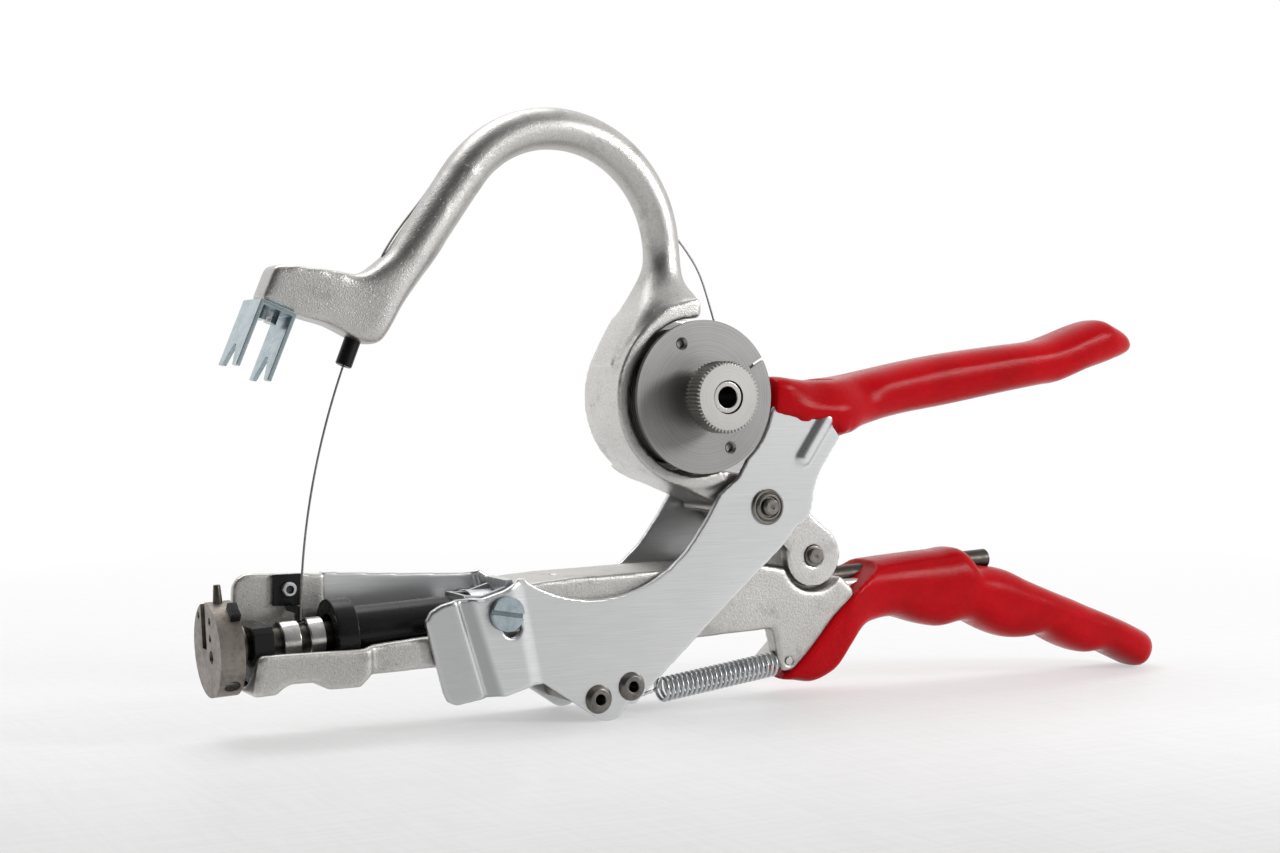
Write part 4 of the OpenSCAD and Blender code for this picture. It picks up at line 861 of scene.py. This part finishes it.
# side plates from the solids: the near flap is folded, with a pressed channel and a free end that leans in
plateSize = {
    "inner": 13.5, "outer": 15.5, "voxel": 0.5, "rounds": 3,
    "rearEdge": [(59.6, 79.3), (56.3, 74.7), (53.1, 70.1), (51.2, 66.6), (50, 62.7), (49.4, 58.6), (48.5, 55.6),
                 (46.6, 53.2), (44.2, 52.6), (44.2, 60), (47, 70), (52, 79)],
    "underGrip": [(36, 88.5), (56.5, 88.5), (56.5, 81.6), (58.6, 78.7), (68, 78.7), (68, 96), (36, 96)],  # not seen
    "underSides": (9.6, 20), "ribFrom": 40}
foldSize = {"fold": ((-44.6, 42.5), (-38, 12)), "first": ((-59.5, 36.4), (-50.5, 9)), "second": ((-64, 36.3), (-55.5, 9)),
            "jog": 0.8, "ramp": 5.0, "step": 0.95, "width": 1.9, "curl": 0.17, "lean": 0.02, "ends": -30, "below": 44}
beadSize = {"from": (46.2, 72.4), "to": (54.9, 85), "wide": 2.35, "high": 1.75, "base": 15.3, "sides": 32}


def lineAt(line, z):
    (x0, z0), (x1, z1) = line
    return x0 + (x1 - x0) * (z - z0) / (z1 - z0)


def foldFlap(piece):
    f = foldSize
    places = placesOf(piece)
    x, y, z = places.T
    folded = lineAt(f["fold"], z)
    flap = eased((folded + 1 - x) / 2)
    ramp = f["jog"] * (1 - eased((folded - x) / f["ramp"]))
    near = (x < f["ends"]) & (z < f["below"])
    move = np.where(near & (y < -plateSize["outer"]), np.minimum(ramp, -plateSize["outer"] - y), 0.0)
    for name, way in (("first", 1), ("second", -1)):
        move += way * flap * near * f["step"] * eased((lineAt(f[name], z) + f["width"] / 2 - x) / f["width"])
    move += near * f["lean"] * np.clip(folded - 4 - x, 0, 40)
    move += near * f["curl"] * np.clip(lineAt(f["second"], z) - 2 - x, 0, 20)
    # the flap's panels get the other brushing and painted shade, darkest between the two creases
    beyond = [near * eased((lineAt(f[name], z) + 1.2 - x) / 2.4) for name in ("first", "second")]
    marked(piece, "crossBrushAndShade", 0.85 * beyond[0] - 0.45 * beyond[1])
    places[:, 1] += move
    replaced(piece, places)


def beadMesh(side):
    low, high = Vector(beadSize["from"]), Vector(beadSize["to"])
    wide = beadSize["wide"]
    u = (high - low).normalized()
    path = [low - u * wide * math.cos(math.radians(d)) for d in range(8, 91, 12)]  # rounded lower end
    path += [low.lerp(high, k / 6) for k in range(1, 7)]
    rings = []
    for p in path:
        ahead = max(0.0, (low - p).dot(u)) / wide
        size = math.sqrt(max(0.0, 1 - ahead * ahead))
        rings.append([at(p.x - u.y * math.cos(a) * wide * size,
                         side * (beadSize["base"] + math.sin(a) * beadSize["high"] * size),
                         p.y + u.x * math.cos(a) * wide * size) for a in turnsOf(beadSize["sides"])])
    return ringStack(rings)


for plateName, plateNode, plateSide in (("nearPlate", "near_plate", -1), ("farPlate", "far_plate", 1)):
    sheet = newPiece("sheet", cadCopy(plateNode, False))
    places = placesOf(sheet)
    proud = (places[:, 0] > plateSize["ribFrom"]) & (np.abs(places[:, 1]) > plateSize["outer"])
    places[proud, 1] = plateSide * plateSize["outer"]  # the solid's rib gives way to the bead
    replaced(sheet, places)
    rear = prism(plateSize["rearEdge"], *sorted((plateSide * plateSize["inner"], plateSide * plateSize["outer"])))
    plate = joinMeshes(plateName, [sheet.data, beadMesh(plateSide), rear])
    bpy.data.objects.remove(sheet)
    softened(plate, plateSize["voxel"], plateSize["rounds"])
    carved(plate, prism(plateSize["underGrip"], *sorted(plateSide * y for y in plateSize["underSides"])))
    if plateName == "nearPlate":
        foldFlap(plate)
    settle(plate, "plateSheet", plateNode)
print("plates made")

# turned and stamped pieces carried over: node, finish, slot and width of the broken edge
dressed = [
    ("fork_plate", "zincBlue", "zinc_steel", 0.2),
    ("fork_screw", "zincBright", "zinc_steel", 0.25),
    ("spool_axle", "knobSteel", "zinc_steel", 0.3),
    ("spool_core", "flangeGrey", "zinc_steel", 0.3),
    ("near_flange", "flangeGrey", "zinc_steel", 0.35),
    ("wire_pack", "wireSteel", "wire", 0.2),
    ("front_bearing", "blackOxide", "black_steel", 0.3),
    ("rear_bush", "bronze", "bronze", 0.3),
    ("gripper_bracket", "blackOxide", "black_steel", 0.25),
    ("spring_pin", "leverCast", "zinc_steel", 0.2),
    ("drive_sleeve", "blackOxide", "black_steel", 0.3),
    ("sleeve_collar", "blackOxide", "black_steel", 0.5),
    ("slide_yoke", "zincBright", "dark_steel", 0.25),
    ("slide_screws", "zincBlue", "zinc_steel", 0.35),
    ("drive_nut", "bronze", "bronze", 0.1),
    ("twister_head", "headSteel", "dark_steel", 0.3),
    ("head_pin", "darkSteel", "bright_steel", 0.15),
    ("head_key", "blackOxide", "black_steel", 0.3),
    ("head_screws", "zincBright", "dark_steel", 0.2),
    ("twister_shaft", "darkSteel", "dark_steel", 0.2),
    ("shaft_bands", "brightSteel", "bright_steel", 0.4),
    ("handle_spacer", "leverCast", "cast_aluminium", 0.4),
    ("tip_rivets", "pinSteel", "zinc_steel", 0.4),
]
sinkSize = {"holes": ((-7.7, 15.1), (8.4, -14.6)), "wide": 1.9, "deep": 0.75, "face": -16.4, "bore": 1.1,
            "over": 0.2, "sides": 32}
# painted shade in the screw slots and the axle's bore: slot depth, shade strength and bore radius
hollowSize = {"slotDeep": 0.5, "slotShade": 0.5, "axleBore": 3.05}


def sinkCone(hole):
    k = sinkSize
    mid = flat((spoolAt[0] + hole[0], spoolAt[1] + hole[1]))
    profile = ((k["face"] - k["over"], k["wide"] + k["over"]), (k["face"] + k["deep"], k["bore"]))
    return lathed((mid.x, mid.z), profile, sides=k["sides"])


def pieceName(node):
    first, *more = node.split("_")
    return first + "".join(word.title() for word in more)


for node, material, slot, width in dressed:
    piece = newPiece(pieceName(node), cadCopy(node))
    if node == "near_flange":
        for hole in sinkSize["holes"]:
            carved(piece, sinkCone(hole))
    bevelled(piece, width)
    places = placesOf(piece)
    if node == "slide_screws":
        # painted shade at the bottom of the screw slots
        out = np.abs(places[:, 1])
        deep = np.clip((out.max() - hollowSize["slotDeep"] - out) * 4, 0, 1)
        marked(piece, "hollow", hollowSize["slotShade"] * deep)
    if node == "spool_axle":
        # painted shade in the axle's bore
        reach = np.hypot(places[:, 0] - spoolAt[0], places[:, 2] - spoolAt[1])
        marked(piece, "hollow", reach < hollowSize["axleBore"])
    settle(piece, material, node, hasEdges=True)
print("carried-over pieces dressed", len(dressed))

# turned pieces: half profiles are distance from the middle plane and radius
pinSize = {
    "link": (33.8, 58.5), "linkPin": ((0, 2.5), (17.75, 2.5), (18.15, 2.3), (18.5, 1.95), (18.5, 0.75), (18.2, 0.3)),
    "washer": ((15.5, 2.56), (15.5, 5.25), (16.0, 5.25), (16.35, 4.9), (16.35, 4.55), (16.05, 4.45), (16.05, 4.2),
               (16.5, 4.05), (16.9, 3.6), (16.9, 3.2), (16.6, 3.05), (16.2, 3.0), (16.2, 2.56)),
    "pivot": (52.2, 43.2), "pivotPin": ((0, 3.0), (12.0, 3.0), (12.05, 2.75), (12.2, 2.7), (12.25, 2.35), (13.3, 2.35),
                                        (13.6, 2.05), (13.6, 0.6), (13.35, 0.25))}
gripScrewSize = {"at": (-102.8, 38.9), "sides": 40, "socket": 8.4, "rings": (
    (13.0, 1.95), (9.12, 1.95), (9.12, 2.1), (8.75, 2.15), (7.9, 2.0), (7.6, 1.7), (7.6, 1.15), (8.4, 1.05), (8.4, 0.3))}
knobSize = {"teeth": 54, "depth": 0.95, "wave": (0, 0.5, 1, 0.5), "rings": (  # y, radius and knurled or not
    (-29.5, 4.75, 0), (-29.5, 9.2, 0), (-29.15, 10.15, 1), (-22.7, 10.15, 1), (-22.35, 9.2, 0), (-22.35, 4.6, 0))}


def turnedPiece(name, meshes, material, node, angle=32, socket=None):
    piece = joinMeshes(name, meshes)
    if socket:
        # painted shade at the bottom of the socket
        marked(piece, "hollow", np.abs(placesOf(piece)[:, 1] - socket) < 0.05)
    smoothShade(piece, angle)
    return settle(piece, material, node, hasEdges=True)


def bothEnds(half):
    return [(-y, r) for y, r in reversed(half[1:])] + list(half)


def nozzleMesh():
    radius, bore, length = (nozzleSize[key] for key in ("radius", "bore", "length"))
    way = flat(nozzleSize["way"])
    side = Vector((way.z, 0, -way.x))
    profile = ((1.2, bore), (0.05, bore + 0.1), (0, bore + 0.3), (0, radius - 0.35), (0.3, radius), (length, radius),
               (length, bore))
    return ringLoop([roundSection(flat(nozzleSize["tip"]) + s * way, side, across, r) for s, r in profile])


def knobMesh():
    wave = knobSize["wave"]
    turns = turnsOf(knobSize["teeth"] * len(wave))
    return ringLoop([[roundAbout(spoolAt, radius - knurled * knobSize["depth"] * wave[k % len(wave)], a, y)
                      for k, a in enumerate(turns)] for y, radius, knurled in knobSize["rings"]])


linkPin = lathed(pinSize["link"], bothEnds(pinSize["linkPin"]))
pivotPin = lathed(pinSize["pivot"], bothEnds(pinSize["pivotPin"]))
washers = [lathed(pinSize["link"], [(way * y, r) for y, r in pinSize["washer"]], True) for way in (-1, 1)]
gripScrew = lathed(gripScrewSize["at"], gripScrewSize["rings"], sides=gripScrewSize["sides"])
turnedPiece("linkPin", [linkPin], "pinSteel", "link_pin")
turnedPiece("linkWashers", washers, "pinSteel", "link_washers")
turnedPiece("armPivotPin", [pivotPin], "pinSteel", "arm_pivot_pin")
turnedPiece("gripperScrew", [gripScrew], "zincBright", "gripper_screw", socket=gripScrewSize["socket"])
turnedPiece("wireNozzle", [nozzleMesh()], "blackOxide", "wire_nozzle")
turnedPiece("knurledKnob", [knobMesh()], "knobSteel", "knob", 20)
print("turned pieces made")

# floor: pale paper with a fine weave, darker towards the camera as painted shade, white at the back and away from the
# tool
stageSize = {"floor": 6.0, "deep": (0.47, 0.883), "thread": (34, 520),
             "tone": (0.6, 0.9), "threadTone": (0.045, 0.02), "nearShadeEdge": (-0.25, 0.0), "glow": 0.3,
             "fade": (-0.2, 0.62), "behind": (-0.5, -0.2), "aside": (0.07, 0.3)}  # aside is squared
reach = stageSize["floor"]
floorMesh = meshOf([(x * reach, y * reach, 0) for x, y in ((-1, -1), (1, -1), (1, 1), (-1, 1))], [[0, 1, 2, 3]])
floor = newPiece("paleFloor", floorMesh)
floorPaint, s, shader = startMaterial("palePaper")
long, fine = stageSize["thread"]
weave = noise(s, objectCoords(s, (long, fine, 1)), 1, 3)
cross = noise(s, objectCoords(s, (fine, long, 1)), 1, 3)
thread = band(s, weave * 0.55 + cross * 0.45, 0.36, 0.62)
s.feed(shader.inputs["Roughness"], 0.3 + weave * 0.25 + cross * 0.15)
s.feed(shader.inputs["Normal"], bumped(s, weave * 0.6 + cross * 0.4, 0.25, 0.0006))
floorX, floorY = [s.node("ShaderNodeSeparateXYZ", Vector=objectCoords(s), out=axis) for axis in "XY"]
toBack = floorX * stageSize["deep"][0] + floorY * stageSize["deep"][1]
toSide = floorX * stageSize["deep"][1] - floorY * stageSize["deep"][0]
lower, raised = stageSize["threadTone"]
# the near tone is painted shade, darker towards the camera
shadedNearTone, farTone = [thread.mixed([tone - lower] * 3, [tone + raised] * 3) for tone in stageSize["tone"]]
s.feed(shader.inputs["Base Color"], band(s, toBack, *stageSize["nearShadeEdge"]).mixed(shadedNearTone, farTone))
whitened = band(s, toBack, *stageSize["fade"]) + (1 - band(s, toBack, *stageSize["behind"]))
whitened = whitened + band(s, toSide * toSide, *stageSize["aside"])


def rays(s, *kinds):
    seen = [s.node("ShaderNodeLightPath", out="Is " + kind + " Ray") for kind in kinds]
    return sum(seen[1:], seen[0])


white = floorPaint.node_tree.nodes.new("ShaderNodeEmission")
white.inputs["Color"].default_value = (1, 1, 1, 1)
blend = floorPaint.node_tree.nodes.new("ShaderNodeMixShader")
looked = rays(s, "Camera", "Glossy", "Transmission")
s.feed(blend.inputs["Fac"], looked * (whitened * (1 - stageSize["glow"]) + stageSize["glow"]))
link = floorPaint.node_tree.links.new
link(shader.outputs["BSDF"], blend.inputs[1])
link(white.outputs["Emission"], blend.inputs[2])
link(blend.outputs["Shader"], floorPaint.node_tree.nodes["Material Output"].inputs["Surface"])
floor.data.materials.append(floorPaint)

# white studio all round, with the dark of the room behind the camera
roomSize = {"way": (-0.52, -0.84, 0.12), "edge": (-0.25, 0.9), "dark": 0.94, "fill": 0.6}
world = bpy.data.worlds.new("studio")
scene.world = world
world.use_nodes = True
ws = Sock(world.node_tree)
around = ws.node("ShaderNodeTexCoord", out="Generated")
toRoom = [ws.node("ShaderNodeSeparateXYZ", Vector=around, out=axis) * share
          for axis, share in zip("XYZ", roomSize["way"])]
dark = band(ws, toRoom[0] + toRoom[1] + toRoom[2], *roomSize["edge"])
glossy = rays(ws, "Glossy")
plain = rays(ws, "Camera", "Transmission")
backdrop = world.node_tree.nodes["Background"]
backdrop.inputs["Color"].default_value = (1, 1, 1, 1)
ws.feed(backdrop.inputs["Strength"],
        plain + glossy * (1.0 - dark * roomSize["dark"]) + (1.0 - plain - glossy) * roomSize["fill"])

lampSize = {"keySide": {"place": (0.66, -0.7, 0.42), "aim": (0.02, 0, 0.07), "size": (0.18, 0.24), "power": 4.4},
            "topBank": {"place": (-0.15, 0.3, 0.95), "aim": (0, 0, 0.05), "size": (0.9, 0.5), "power": 3.5}}
for name, row in lampSize.items():
    data = bpy.data.lights.new(name, "AREA")
    data.shape = "RECTANGLE"
    data.size, data.size_y = row["size"]
    data.energy = row["power"]
    lamp = bpy.data.objects.new(name, data)
    lamp.location = row["place"]
    lamp.rotation_euler = (Vector(row["aim"]) - lamp.location).to_track_quat("-Z", "Y").to_euler()
    scene.collection.objects.link(lamp)
print("stage set")
